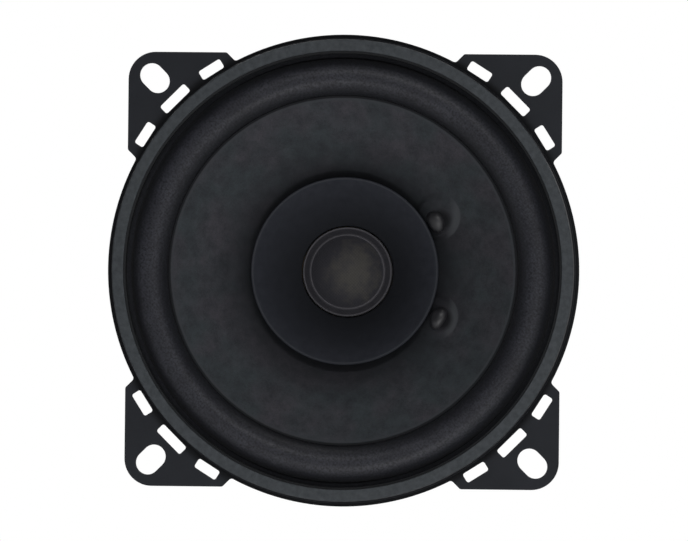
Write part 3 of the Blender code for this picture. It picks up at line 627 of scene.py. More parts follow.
def whizzer_paper():
    """Thin black paper, smoother than the main cone's, with painted shade deep in its neck and a painted
    highlight along its free edge.
    """
    f = Finish("whizzer_paper", 0.8, specular=0.12)
    mottle = f.noise(0.5, 4.0, 0.6)
    fibre = f.noise(3.6, 4.0, 0.6, distortion=0.8)
    radius = f.radius()
    blot = f.weighed(mottle, fibre, 0.55)
    paper = f.tones(blot, (0.011, 0.0124, 0.0164), (0.0194, 0.021, 0.0268))
    # painted shade: darker towards the neck
    neck_shade = f.tones(radius, (0.0088, 0.0096, 0.012), paper, 9.5, 18.5)
    # painted highlight: a lighter line along the free edge
    base = f.mix(f.near(radius, WHIZZER_EDGE[0] - 0.1, 0.22), neck_shade, (0.0255, 0.0275, 0.032))
    normal = f.bump(fibre, 0.04, 0.5, f.bump(mottle, 0.05, 0.3))
    return f.done(base, f.between(fibre, 0.7, 0.9), normal)


def cap_fabric():
    """Treated cloth, a fine weave, with a warm painted highlight right of the dome's centre and pale
    pressed creases.
    """
    f = Finish("cap_fabric", 0.8, specular=0.15, sheen=0.02)
    weave = f.weave(0.34, 0.5)
    patch = f.noise(0.42, 4.0, 0.6)
    radius = f.radius()
    # painted highlight: a warm, lighter patch right of the dome's centre
    edge = f.plus(f.distance(1.7, 0.1, 5.6, 6.6), f.between(patch, -0.5, 0.5))
    cap_highlight = f.spread(edge, 0.25, 1.15, 1.0, 0.0)
    tone = f.mix(cap_highlight, (0.02, 0.0198, 0.0242), (0.0425, 0.0405, 0.0372))
    dome = f.mix(f.spread(weave, 0.0, 1.0, 0.72, 1.0), (0.009, 0.0088, 0.01), tone)
    cloth = f.tones(radius, dome, (0.0105, 0.0102, 0.013), CAP_CREASE[0] + 0.15, CAP_CREASE[0] + 0.45)
    creases = f.near(radius, CAP_CREASE[0] + 0.02, 0.3), f.near(radius, CAP_RIM[0] - 0.13, 0.36)
    base = f.mix(f.times(f.math("MAXIMUM", *creases), 0.85), cloth, (0.062, 0.06, 0.0665))
    normal = f.bump(weave, 0.05, 0.5, f.bump(patch, 0.08, 0.4))
    return f.done(base, f.between(patch, 0.85, 0.65), normal)


def kapton():
    """Amber film, a little glossy, and blackened by the adhesive at its front end."""
    f = Finish("kapton", 0.35, specular=0.3)
    streak = f.noise(0.8)
    amber = f.tones(streak, (0.3, 0.12, 0.03), (0.42, 0.19, 0.06))
    base = f.tones(f.axes()[1], (0.0035, 0.0035, 0.004), amber, 20.0, 20.6)
    return f.done(base, f.between(streak, 0.3, 0.45), f.bump(streak, 0.03, 0.3))


def spider_cloth():
    """Resin-soaked cotton, a coarse open weave."""
    f = Finish("spider_cloth", 0.85, specular=0.35, sheen=0.1)
    weave = f.weave(0.55, 0.3)
    resin = f.noise(0.2, 4.0, 0.6)
    tone = f.tones(resin, (0.36, 0.23, 0.08), (0.5, 0.36, 0.15))
    base = f.tones(weave, (0.12, 0.07, 0.02), tone, 0.1, 0.8)
    return f.done(base, f.between(resin, 0.7, 0.92), f.bump(weave, 0.16, 0.8))


def zinc_plate():
    """Zinc-plated steel: faint rainbow passivation, fine turning marks and dull patches."""
    f = Finish("zinc_plate", 0.35, 1.0)
    x, y, z = f.axes()
    turning = f.scaled((f.length(x, z), f.math("ARCTAN2", z, x), y), (5.0, 1.5, 5.0))
    marks = f.noise(1.0, 3.0, 0.6, vector=turning)
    patch = f.noise(0.13, 4.0, 0.6)
    tint = f.noise(0.07, 2.0, distortion=0.6)
    cool = f.tones(tint, (0.52, 0.54, 0.56), (0.57, 0.56, 0.52))
    base = f.tones(patch, cool, (0.46, 0.47, 0.48), 0.35, 0.75)
    rough = f.plus(f.between(patch, 0.26, 0.42), f.between(marks, -0.04, 0.06))
    return f.done(base, rough, f.bump(marks, 0.03, 0.35, f.bump(patch, 0.05, 0.2)))


def ferrite():
    """Sintered ferrite: dark, matt and finely pitted."""
    f = Finish("ferrite", 0.55, specular=0.5)
    grain = f.noise(2.5, 5.0, 0.65)
    cells = f.node("ShaderNodeTexVoronoi", {"Vector": f.mm, "Scale": 0.85}, "Distance")
    pitted = f.spread(cells, 0.05, 0.16)
    tone = f.tones(f.noise(0.12), (0.04, 0.04, 0.043), (0.06, 0.059, 0.06))
    base = f.mix(pitted, (0.018, 0.018, 0.02), tone)
    normal = f.bump(grain, 0.05, 0.5, f.bump(pitted, 0.12, 0.6))
    return f.done(base, f.between(grain, 0.45, 0.65), normal)


def tinned_brass():
    """Tin on brass, with rolling marks along the blade."""
    f = Finish("tinned_brass", 0.3, 1.0)
    rolled = f.noise(1.0, 3.0, 0.6, vector=f.scaled(f.axes(), (8.0, 0.5, 8.0)))
    base = f.tones(f.noise(0.5), (0.62, 0.61, 0.58), (0.55, 0.5, 0.4), 0.35, 0.75)
    return f.done(base, f.between(rolled, 0.22, 0.38), f.bump(rolled, 0.02, 0.4))


MOTTLED = {  # Finish's values, the noise, the way it is stretched, two tones, roughness and relief
    "copper_wire": ((0.3, 1.0), (1.4, 2.0), None,
                    ((0.5, 0.18, 0.07), (0.62, 0.27, 0.12)), (0.22, 0.4), (0.02, 0.3)),
    "collar_paper": ((0.9, 0.0, 0.3), (2.4, 4.0, 0.6, 1.0), None,
                     ((0.19, 0.13, 0.07), (0.3, 0.22, 0.13)), (0.8, 0.95), (0.05, 0.5)),
    "black_adhesive": ((0.45, 0.0, 0.4), (0.45, 2.0), None,
                       ((0.008, 0.008, 0.01), (0.014, 0.014, 0.016)), (0.43, 0.55), (0.1, 0.3)),
    "phenolic": ((0.5,), (1.0, 3.0, 0.6), (0.6, 9.0, 0.6),
                 ((0.115, 0.05, 0.02), (0.185, 0.09, 0.04)), (0.42, 0.6), (0.04, 0.4)),
    "solder": ((0.28, 1.0), (1.6, 3.0, 0.55), None,
               ((0.52, 0.52, 0.53), (0.66, 0.66, 0.66)), (0.2, 0.36), (0.12, 0.5)),
    "tinsel": ((0.4, 1.0), (4.5, 3.0, 0.6), None,
               ((0.34, 0.15, 0.07), (0.62, 0.36, 0.2)), (0.3, 0.5), (0.06, 0.6)),
}


def mottled(name):
    """A material with its two tones, its roughness and its relief all from one noise."""
    shader, scales, stretch, tones, dull, relief = MOTTLED[name]
    f = Finish(name, *shader)
    noise = f.noise(*scales, vector=f.scaled(f.axes(), stretch) if stretch else None)
    return f.done(f.tones(noise, *tones), f.between(noise, *dull), f.bump(noise, *relief))


# ---------------------------------------------------------------- front of the speaker


def cone_y(radius):
    """The depth of the main cone's front surface."""
    share = max(0.0, (CONE_EDGE[0] - radius) / (CONE_EDGE[0] - CONE_NECK[0]))
    return CONE_EDGE[1] + (CONE_NECK[1] - CONE_EDGE[1]) * share**CONE_CURVE


def cone_normal(radius):
    """The cone's rearward unit normal at a radius, as (radial, y)."""
    slope = (cone_y(radius + 0.1) - cone_y(radius - 0.1)) / 0.2
    return Vector((-slope, 1.0)).normalized()


def with_seats(x, y, z):
    """Presses the two round seats forwards out of the cone."""
    rise = 0.0
    for seat in SEATS.values():
        away = math.dist((x, z), on_circle(*seat))
        rise = max(rise, SEAT_HEIGHT * smooth(SEAT_RADIUS - away, 0.0, SEAT_SLOPE))
    radius = math.hypot(x, z)
    rear = cone_normal(radius) * rise
    scale = 1 - rear.x / radius
    return x * scale, y - rear.y, z * scale


def make_gasket():
    _, front, rear = extent("gasket")
    wall, top, shelf = GASKET_WALL, GASKET_TOP_INNER, front + GASKET_STEP
    outline = rounded([
        (wall + 0.15, rear, 0.1), (wall, front + 0.1, 0.3), (top, front, 0.12),
        (top - 0.08, shelf, 0.08), (top - 0.5, shelf + 0.03, 0.12), (top - 0.55, GASKET_FOOT_Y, 0.1),
        (wall - 0.6, GASKET_FOOT_Y), (wall - 0.6, rear),
    ])
    return turned("gasket_ring", outline, gasket_foam_skin(), LARGE)


def roll_line():
    """The surround's roll: one broad crest with steep flanks, from its outer foot inwards."""
    steps = 36
    line = [ROLL_OUTER_FOOT]
    for i in range(steps + 1):
        across = 1 - 2 * i / steps
        swell = (1 - abs(across) ** 2.2) ** 0.7
        line.append((ROLL_MIDDLE + ROLL_HALF_WIDTH * across, ROLL_FOOT_Y - ROLL_HEIGHT * swell))
    return [*line, ROLL_INNER_FOOT]


def make_surround():
    """The roll between two flat rings, the inner of which is glued behind the cone's edge."""
    behind_cone = CONE_SHEET * 1.25 + 0.3
    lip = [(radius, cone_y(radius) + behind_cone) for radius in (37.1, 36.4, 35.6, 34.8)]
    front = subdivided([SURROUND_OUTER, *roll_line(), *lip], 0.35)
    return turned("surround_roll", shell(front, SURROUND_SHEET), surround_cloth(), LARGE)


def make_cone():
    steps = 56
    width = CONE_EDGE[0] - CONE_NECK[0]
    radii = [CONE_EDGE[0] - width * i / steps for i in range(steps + 1)]
    front = [(radius, cone_y(radius)) for radius in radii]
    return turned("paper_cone", shell(front, CONE_SHEET), cone_paper(), FINE, with_seats)


def make_whizzer():
    """The small cone, whose mouth flares outwards to a free edge."""
    steps = 28
    edge, neck = Vector(WHIZZER_EDGE), Vector(WHIZZER_NECK)
    front = []
    for i in range(steps + 1):
        share = i / steps
        radius = neck.x + (edge.x - neck.x) * (1 - share)
        front.append((radius, neck.y + (edge.y - neck.y) * (1 - share**WHIZZER_CURVE)))
    return turned("whizzer_horn", shell(front, WHIZZER_SHEET), whizzer_paper(), LARGE)


def make_cap():
    """The dust cap: a glued flange, a pressed crease and a dome."""
    rim, rim_y = CAP_RIM
    crease, crease_y = CAP_CREASE
    front = [(rim, rim_y), (rim - 0.12, rim_y - 0.14), (rim - 0.3, rim_y - 0.05)]
    front += [(crease + 1.1, rim_y - 0.09), (crease + 0.6, rim_y - 0.14)]
    for step, rise in ((0.35, 0.0), (0.2, 0.02), (0.1, 0.15), (0.0, 0.2), (-0.12, 0.16)):
        front.append((crease + step, crease_y - rise))
    dome_radius = (crease**2 + CAP_RISE**2) / (2 * CAP_RISE)
    centre_y = crease_y - CAP_RISE + dome_radius
    steps = 24
    for i in range(1, steps):
        tilt = math.asin(crease / dome_radius) * (1 - i / steps)
        front.append((dome_radius * math.sin(tilt), centre_y - dome_radius * math.cos(tilt)))
    front.append((0.0, crease_y - CAP_RISE))
    rear = offset_line(front, CAP_SHEET)
    rear[-1] = (0.0, rear[-1][1])
    outline = rear[::-1] + half_round(rear[0], front[0]) + front
    return turned("cloth_cap", outline, cap_fabric())


def dome(radius, height, fullness, steps, y=0.0):
    """The outline of a round head that rises forwards from y, without its top point."""
    angles = [math.radians(90 * i / steps) for i in range(steps)]
    return [(radius * math.cos(a) ** fullness, y - height * math.sin(a)) for a in angles]


def make_dot(name, side, material):
    """The adhesive dot over a lead, on its seat in the cone."""
    foot = [(0.0, DOT_FOOT), (DOT_RADIUS, DOT_FOOT)]
    outline = [*foot, *dome(DOT_RADIUS, DOT_HEIGHT, 0.9, 10), (0.0, -DOT_HEIGHT)]
    ring, angle = DOTS[side]
    rear = cone_normal(ring)
    tilt = Matrix(((rear.y, rear.x, 0), (-rear.x, rear.y, 0), (0, 0, 1)))
    swing = Matrix.Rotation(math.radians(-angle), 3, "Y")
    stand = Vector((ring, cone_y(ring), 0)) - Vector((rear.x, rear.y, 0)) * SEAT_HEIGHT

    def shape(x, y, z):
        wobble = 1 + 0.05 * math.sin(3 * math.atan2(z, x) + side)
        return swing @ (tilt @ Vector((x * 0.88 * wobble, y, z * 1.12 * wobble)) + stand)

    return turned(name, outline, material, SMALL, shape)


# ---------------------------------------------------------------- basket


def flange_outline():
    """The round rim with an ear at each corner, anticlockwise, with small fillets at the rim."""
    half_sum = math.sqrt(RIM**2 / 2 - (EAR_CHAMFER / 2) ** 2)
    meet_x, meet_z = half_sum + EAR_CHAMFER / 2, half_sum - EAR_CHAMFER / 2
    rim_angle = math.degrees(math.atan2(meet_z, meet_x))
    side, chamfer_z, inset = EAR_HALF_WIDTH, EAR_HALF_WIDTH - EAR_CHAMFER, EAR_HALF_WIDTH - EAR_CORNER
    ear = fillet((meet_x, meet_z), on_circle(RIM, rim_angle - 2), (side, chamfer_z), 0.6)
    ear += fillet((side, chamfer_z), (meet_x, meet_z), (side, inset), 0.3)
    ear += arc((inset, inset), EAR_CORNER, 0, 90, 14)
    ear += fillet((chamfer_z, side), (inset, side), (meet_z, meet_x), 0.3)
    ear += fillet((meet_z, meet_x), (chamfer_z, side), on_circle(RIM, 92 - rim_angle), 0.6)
    ear += arc((0, 0), RIM, 91.2 - rim_angle, 88.8 + rim_angle, 36)
    outline = []
    for quarter in range(4):
        outline += placed(ear, 0.0, 90.0 * quarter)
    return outline


def ear_holes(diagonal):
    """The screw slot and the three relief slots of one ear."""
    length, width = SCREW_SLOT
    loops = [placed(slot(length, width, width / 2 - 0.005, 10), SCREW_RING, diagonal)]
    for length, angle, tilt in RELIEFS:
        relief = slot(RELIEF_WIDTH, length, 0.5, 4)
        loops.append(placed(relief, RELIEF_RING, diagonal + angle, tilt))
    return loops


def bowl_line():
    """The bowl's front surface from the flange's inner edge to the hole in its floor."""
    return rounded([
        (46.9, -SHEET), (45.2, -SHEET, 1.1), (44.7, 5.0, 1.2), (*WALL_TOP, 1.0), (*WALL_FOOT, 1.0),
        (31.6, LEDGE_Y, 0.6), (26.4, LEDGE_Y, 0.7), (24.6, FLOOR_Y, 0.9), (FLOOR_HOLE, FLOOR_Y),
    ])


def wall_frame():
    """The middle of the slanted wall, its direction towards the floor and its outward normal."""
    top, foot = Vector(WALL_TOP), Vector(WALL_FOOT)
    along = (foot - top).normalized()
    return (top + foot) / 2, along, Vector((along.y, -along.x))


def rib(x, y, z):
    """Presses two stiffening ribs into each arm, apart from the one that carries the terminals."""
    radius, angle = math.hypot(x, z), math.degrees(math.atan2(z, x)) % 90.0
    from_arm = min(angle, 90.0 - angle)
    height = smooth(y, 7.5, 10.0) * (1 - smooth(y, 16.5, 19.0))
    if not height or (x > 0 and abs(z) < x):
        return x, y, z
    push = wall_frame()[2] * height * bell(math.radians(from_arm - 6.2) * radius, 1.5)
    scale = 1 + push.x / radius
    return x * scale, y + push.y, z * scale


def window_cutter(degrees):
    """The body that cuts a rounded window through the slanted wall, centred on one diagonal."""
    middle, along, out = wall_frame()
    columns = 24
    bm = bmesh.new()
    layers = []
    for depth in TOOL_DEPTHS:
        rows = []
        for end, turns in ((-1, range(-90, 1, 15)), (1, range(0, 91, 15))):
            for turn in turns:
                bend = Vector(on_circle(WINDOW_CORNER, turn))
                slant = end * (WINDOW_HALF_LENGTH - WINDOW_CORNER) + bend.y
                spot = middle + along * slant
                half = WINDOW_HALF_SPAN - (WINDOW_CORNER - bend.x) / spot.x
                spot += out * depth
                row = []
                for i in range(columns + 1):
                    x, z = on_circle(spot.x, degrees + math.degrees(half) * (2 * i / columns - 1))
                    row.append(bm.verts.new((x, spot.y, z)))
                rows.append(row)
        layers.append(rows)
    inner, outer = layers
    ends = [[[row[side] for row in rows] for rows in layers] for side in (0, -1)]
    for rows in (inner, outer, [inner[0], outer[0]], [inner[-1], outer[-1]], *ends):
        add_grid(bm, rows)
    return object_of("window_tool", bm)


def aperture_cutter():
    """The body that cuts the opening for the leads in the wall behind the terminals."""
    middle, along, out = wall_frame()
    bm = plate_mesh([rectangle(-5.4, 2.6, -7.6, 7.6, 1.2)], *TOOL_DEPTHS)
    axes = Matrix(((along.x, out.x, 0), (along.y, out.y, 0), (0, 0, 1)))
    bmesh.ops.rotate(bm, verts=bm.verts, cent=(0, 0, 0), matrix=axes)
    bmesh.ops.translate(bm, verts=bm.verts, vec=(middle.x, middle.y, 0))
    return object_of("aperture_tool", bm)


def tongue():
    """The tab folded out of the arm at +X, which carries the terminal board."""
    high = corners("terminal_board")[1]
    half = high.z - 0.4
    tab = rectangle(WALL_FOOT[0] + 2.7, high.x - 0.6, -half, half, 0.9)
    return object_of("tongue", plate_mesh([tab, *board_holes(0.8)], TONGUE_Y, TONGUE_Y + SHEET))


def board_holes(clearance):
    """The holes for the two blades and the rivet, with a clearance round the blades."""
    half = BLADE_THICKNESS / 2 + clearance
    holes = [hole(BLADE_X, 0.0, 1.4)]
    for z, width in BLADES:
        reach = width / 2 + clearance
        holes.append(rectangle(BLADE_X - half, BLADE_X + half, z - reach, z + reach, 0.15, 2))
    return holes


def rivet_hole(degrees, front_y, rear_y):
    """The body that cuts one rivet's hole between two depths."""
    loop = hole(*on_circle(RIVET_RING, degrees), RIVET_SHANK + 0.3)
    return object_of("rivet_tool", plate_mesh([loop], front_y, rear_y))


def bowl_rings(bm, line):
    """One surface of the bowl. Gives its rings of vertices."""
    rings = []
    for radius, y in line:
        points = [on_circle(radius, 360 / FINE * i) for i in range(FINE)]
        rings.append([bm.verts.new(rib(x, y, z)) for x, z in points])
    add_grid(bm, [[*ring, ring[0]] for ring in rings])
    return rings


def make_basket():
    """One pressed sheet: the flange with its ears, then the bowl with its windows."""
    bm = bmesh.new()
    line = subdivided(bowl_line(), 0.9)
    loops = [flange_outline()]
    for diagonal in DIAGONALS:
        loops += ear_holes(diagonal)
    bowls = [bowl_rings(bm, line), bowl_rings(bm, offset_line(line, SHEET))]
    sides = []
    for rings, y in zip(bowls, (-SHEET, 0.0)):
        edges = [bm.edges.get((rings[0][i - 1], rings[0][i])) for i in range(FINE)]
        walls = []
        for loop in loops:
            verts = [bm.verts.new((x, y, z)) for x, z in loop]
            edges += [bm.edges.new(pair) for pair in zip(verts, verts[1:] + verts[:1])]
            walls.append(verts)
        bmesh.ops.triangle_fill(bm, use_beauty=True, use_dissolve=False, edges=edges)
        sides.append([*walls, rings[-1]])
    for front, rear in zip(*sides):
        add_grid(bm, [[ring[-1], *ring] for ring in (front, rear)])
    basket = object_of("basket_pressing", bm, black_paint())
    add_bevel(basket, 0.12, 1, 60.0)
    tools = [window_cutter(diagonal) for diagonal in DIAGONALS]
    tools.append(aperture_cutter())
    tools += [rivet_hole(diagonal, FLOOR_Y - 1, FLOOR_Y + 2) for diagonal in DIAGONALS]
    for tool in tools:
        cut(basket, tool)
    tab = tongue()
    cut(basket, tab, "UNION")
    apply_modifiers(basket, tab, *tools)
    merge_slivers(basket)
    return basket


# ---------------------------------------------------------------- behind the cone


def make_spider():
    """A flat disc of cloth with four round corrugations."""
    waves, steps = 4, 96
    front = [(radius, SPIDER_Y) for radius in (extent("spider")[0], 28.6, 27.2)]
    outer, inner = SPIDER_WAVES
    for i in range(steps + 1):
        phase = math.tau * waves * i / steps
        radius = outer + (inner - outer) * i / steps
        front.append((radius, SPIDER_Y - SPIDER_WAVE * math.sin(phase)))
    front += [(11.0, SPIDER_Y), (10.5, SPIDER_Y - 0.05), (10.1, SPIDER_Y)]
    return turned("spider_disc", shell(front, SPIDER_SHEET), spider_cloth(), LARGE)


def make_top_plate():
    radius, front, rear = extent("top_plate")
    outline = rounded([
        (PLATE_HOLE, front, 0.25), (radius, front, 0.55), (radius, rear, 0.4), (PLATE_HOLE, rear, 0.25),
    ])
    plate = turned("top_plate_ring", outline, zinc_plate(), LARGE)
    tools = [rivet_hole(diagonal, front - 1, rear + 1) for diagonal in DIAGONALS]
    for tool in tools:
        cut(plate, tool)
    apply_modifiers(plate, *tools, sharp=35.0)
    return plate


def make_magnet():
    radius, front, rear = extent("magnet")
    middle, bevel = (front + rear) / 2, MAGNET_BEVEL
    outline = rounded([
        (MAGNET_HOLE, front, 0.3), (radius - bevel, front, 0.2), (radius, front + bevel, 0.35),
        (radius, rear - bevel, 0.35), (radius - bevel, rear, 0.2), (MAGNET_HOLE, rear, 0.3),
    ])

    def chipped(x, y, z):
        """Breaks small flakes off the edges, as on any pressed ferrite ring."""
        reach, angle = math.hypot(x, z), math.atan2(z, x)
        flake = 0.0
        for turn, side, width, depth in CHIPS:
            if (y - middle) * side > 3.4 and reach > radius - 1.4:
                off = (angle - turn + math.pi) % math.tau - math.pi
                flake = max(flake, depth * bell(off, width))
        scale = 1 - flake / reach
        return x * scale, middle + (y - middle) * (1 - 0.25 * flake / (rear - front)), z * scale

    return turned("ferrite_ring", outline, ferrite(), FINE, chipped)


def make_yoke():
    """The back plate and its pole, one forging, with a shallow centre mark from the press."""
    radius, pole_top, rear = extent("yoke_and_pole")
    plate_front = rear - BACK_PLATE
    outline = [(0.0, pole_top + 0.35), (0.8, pole_top + 0.3), (1.4, pole_top)]
    outline += rounded([
        (4.0, pole_top), (POLE, pole_top, 0.5), (POLE, plate_front, 0.5), (radius, plate_front, 0.6),
        (radius, rear, 0.9), (12.7, rear, 0.2), (12.1, rear - 0.35, 0.2), (3.4, rear - 0.35, 0.3),
        (2.4, rear - 0.9, 0.4), (1.2, rear - 0.95),
    ])
    outline.append((0.0, rear - 0.95))
    return turned("yoke_forging", outline, zinc_plate(), LARGE)


def make_rivet(name, degrees, material):
    _, front, rear = extent("basket_rivet_1")
    seat = front + 1.0
    head = dome(RIVET_HEAD, 0.85, 0.8, 8, seat - 0.15)
    outline = [(0.0, rear), (RIVET_SHANK - 0.3, rear), (RIVET_SHANK, rear - 0.3), (RIVET_SHANK, seat),
               (RIVET_HEAD, seat), *head, (0.0, front)]
    shape = moved(*on_circle(RIVET_RING, degrees))
    return turned(name, outline, material, SMALL, shape)


def moved(x0, z0):
    """A turned piece's shape function that only moves it off the axis."""
    return lambda x, y, z: (x + x0, y, z + z0)


def tube(name, size, material):
    inner, outer, front, rear = size
    ends = (outer, front, 0.05), (inner, front, 0.05), (inner, rear, 0.05), (outer, rear, 0.05)
    return turned(name, rounded(ends, steps=2), material)


def make_winding():
    """The coil's turns, each standing out as a half round."""
    inner, outer, front, rear = WINDING
    outline = [(inner, rear), (inner, front)]
    pitch = (rear - front) / WINDING_TURNS
    profile = (0.0, 0.55), (0.2, 0.85), (0.5, 1.0), (0.8, 0.85)
    for i in range(WINDING_TURNS):
        for share, lift in profile:
            outline.append((inner + (outer - inner) * lift, front + pitch * (i + share)))
    outline.append((inner + (outer - inner) * profile[0][1], rear))
    return turned("copper_winding", outline, mottled("copper_wire"))


def make_neck_glue():
    """The adhesive fillet in the wedge between the two cones, a little uneven."""
    def uneven(x, y, z):
        angle = math.atan2(z, x)
        push = 0.05 * math.sin(5 * angle + 0.6) + 0.04 * math.sin(11 * angle)
        scale = 1 + push / math.hypot(x, z)
        return x * scale, y, z * scale

    outline = rounded([
        (11.0, 14.45), (12.2, 13.5, 0.15), (12.5, 13.6, 0.1), (12.3, 13.8, 0.1), (11.0, 14.75),
    ])
    return turned("neck_adhesive", outline, mottled("black_adhesive"), shape=uneven)


def make_board():
    low, high = corners("terminal_board")
    loops = [rectangle(low.x, high.x, low.z, high.z, 1.2), *board_holes(0.3)]
    board = object_of("terminal_card", plate_mesh(loops, low.y, high.y), mottled("phenolic"))
    add_bevel(board, 0.1, 1, 60.0)
    apply_modifiers(board)
    return board


def make_blade(name, node, width, material):
    """A stamped blade: a tail for the lead, two shoulders on the board and a tapered tip."""
    low, high = corners(node)
    z = (low.z + high.z) / 2
    half, tail = width / 2, 1.0
    shoulder, board = half + 0.7, corners("terminal_board")[1].y + 0.3
    right = [
        (tail - 0.3, low.y), (tail, low.y + 0.3), (tail, TONGUE_Y - 0.6), (half, TONGUE_Y),
        (half, board), (shoulder - 0.15, board), (shoulder, board + 0.15),
        (shoulder, board + 1.35), (shoulder - 0.15, board + 1.5), (half, board + 1.5),
        (half, high.y - 1.1), (half - 0.3, high.y - 0.45), (half - 0.9, high.y),
    ]
    left = [(-across, y) for across, y in reversed(right)]
    bm = plate_mesh([right + left, hole(0.0, high.y - 2.2, 0.7)], -BLADE_THICKNESS / 2, BLADE_THICKNESS / 2)
    turn = Matrix(((0, 1, 0), (0, 0, 1), (1, 0, 0)))
    bmesh.ops.rotate(bm, verts=bm.verts, cent=(0, 0, 0), matrix=turn)
    bmesh.ops.translate(bm, verts=bm.verts, vec=(BLADE_X, 0, z))
    blade = object_of(name, bm, material)
    add_bevel(blade, 0.12, 2, 50.0)
    apply_modifiers(blade)
    return blade


def make_card_rivet():
    """A hollow rivet, with a round head in front of the board and a rolled one behind it."""
    _, front, rear = extent("terminal_rivet")
    outline = [(0.0, front), (0.6, front), (0.9, front + 0.02), (1.7, front + 0.15), (2.1, front + 0.4),
               (2.2, front + 0.7), (1.1, front + 0.7), (1.1, rear - 0.7), (2.2, rear - 0.7),
               (2.1, rear - 0.35), (1.6, rear - 0.05), (1.1, rear - 0.1), (0.9, rear - 0.5),
               (0.0, rear - 0.55)]
    return turned("card_rivet", outline, tinned_brass(), SMALL, moved(BLADE_X, 0.0))


def make_solder(name, node, material):
    """A blob of solder with a foot that wets the blade."""
    low, high = corners(node)
    centre, half = (low + high) / 2, (high - low) / 2
    bm = bmesh.new()
    bmesh.ops.create_icosphere(bm, subdivisions=4, radius=1.0)
    for vert in bm.verts:
        x, y, z = vert.co
        foot = 1 + 0.16 * smooth(x, 0.2, 1.0) - 0.12 * smooth(-x, 0.3, 1.0)
        girth = 0.86 * foot * (1 + 0.04 * math.sin(5 * y + 3 * z))
        vert.co = centre + half * Vector((x, y * girth, z * girth))
    return object_of(name, bm, material, 60.0)


def smooth_route(points, per_span):
    """A Catmull-Rom curve through the route's points."""
    ends = [2 * points[0] - points[1], *points, 2 * points[-1] - points[-2]]
    route = []
    for a, b, c, d in zip(ends, ends[1:], ends[2:], ends[3:]):
        for i in range(per_span):
            t = i / per_span
            bend = (2 * a - 5 * b + 4 * c - d) * t**2 + (3 * b - a - 3 * c + d) * t**3
            route.append((2 * b + (c - a) * t + bend) / 2)
    return [*route, points[-1]]


def lead_route(side):
    """From behind the cone at the adhesive dot, in a slack bow, to the solder at the blade."""
    ring, angle = DOTS[side]
    route = []
    for depth in (0.6, 3.0):
        spot = Vector((ring, cone_y(ring))) + cone_normal(ring) * depth
        x, z = on_circle(spot.x, angle)
        route.append(Vector((x, spot.y, z)))
    low, high = corners("solder_joint_upper")
    end = Vector(((low.x + high.x) / 2, low.y - 0.35, side * (low.z + high.z) / 2))
    for bow in ((x + 4.4, 14.0, 10.2), (x + 9.4, 14.9, 8.6), (end.x - 3.8, 13.4, 6.2)):
        route.append(Vector((bow[0], bow[1], side * bow[2])))
    return [*route, end]


def make_lead(name, side, material):
    """A tinsel lead: three strands twisted round its route. Gives it and its points' shares."""
    route = smooth_route(lead_route(side), 14)
    along = [0.0]
    for a, b in zip(route, route[1:]):
        along.append(along[-1] + (b - a).length)
    across = Vector((0, 0, 1))
    sections = []
    for i, spot in enumerate(route):
        ahead = (route[min(i + 1, len(route) - 1)] - route[max(i - 1, 0)]).normalized()
        across = (across - ahead * across.dot(ahead)).normalized()
        sections.append((spot, across, ahead.cross(across)))
    corner_count = 8
    verts, faces, shares = [], [], []
    for strand in range(STRANDS):
        first = len(verts)
        for (spot, u, v), travelled in zip(sections, along):
            twist = math.tau * (travelled / STRAND_PITCH + strand / STRANDS)
            centre = spot + (u * math.cos(twist) + v * math.sin(twist)) * STRAND_RING
            for k in range(corner_count):
                angle = math.tau * k / corner_count
                verts.append(centre + (u * math.cos(angle) + v * math.sin(angle)) * STRAND_RADIUS)
                shares.append(1 - travelled / along[-1])
        rings = [range(i, i + corner_count) for i in range(first, len(verts), corner_count)]
        for a, b in zip(rings, rings[1:]):
            faces += [(a[k - 1], a[k], b[k], b[k - 1]) for k in range(corner_count)]
        faces += [tuple(reversed(rings[0])), tuple(rings[-1])]
    return make_object(name, verts, faces, material, 50.0), shares


# ---------------------------------------------------------------- stage, lights and camera


def outward(azimuth, elevation):
    """The unit vector from the speaker at an azimuth and an elevation in degrees."""
    a, e = math.radians(azimuth), math.radians(elevation)
    return Vector((math.sin(a) * math.cos(e), -math.cos(a) * math.cos(e), math.sin(e)))


def soft_box(name, azimuth, elevation, distance, width, height, power):
    """A rectangular lamp that faces the speaker, from angles measured as the camera's are."""
    data = bpy.data.lights.new(name, "AREA")
    data.shape = "RECTANGLE"
    data.size, data.size_y = width, height
    data.energy = power
    lamp = add_object(name, data)
    towards = outward(azimuth, elevation)
    lamp.location = towards * distance
    lamp.rotation_euler = towards.to_track_quat("Z", "Y").to_euler()
    lamp.visible_camera = False


def make_world():
    """White behind everything the camera sees, and a soft grey room for the light."""
    world = bpy.data.worlds.new("studio")
    bpy.context.scene.world = world
    world.use_nodes = True
    nodes, links = world.node_tree.nodes, world.node_tree.links
    room, paper = nodes["Background"], nodes.new("ShaderNodeBackground")
    room.inputs["Strength"].default_value = ROOM_LIGHT
    blend = nodes.new("ShaderNodeMixShader")
    seen = nodes.new("ShaderNodeLightPath").outputs["Is Camera Ray"]
    links.new(seen, blend.inputs["Fac"])
    for i, background in enumerate((room, paper), 1):
        background.inputs["Color"].default_value = WHITE
        links.new(background.outputs[0], blend.inputs[i])
    links.new(blend.outputs[0], nodes["World Output"].inputs["Surface"])


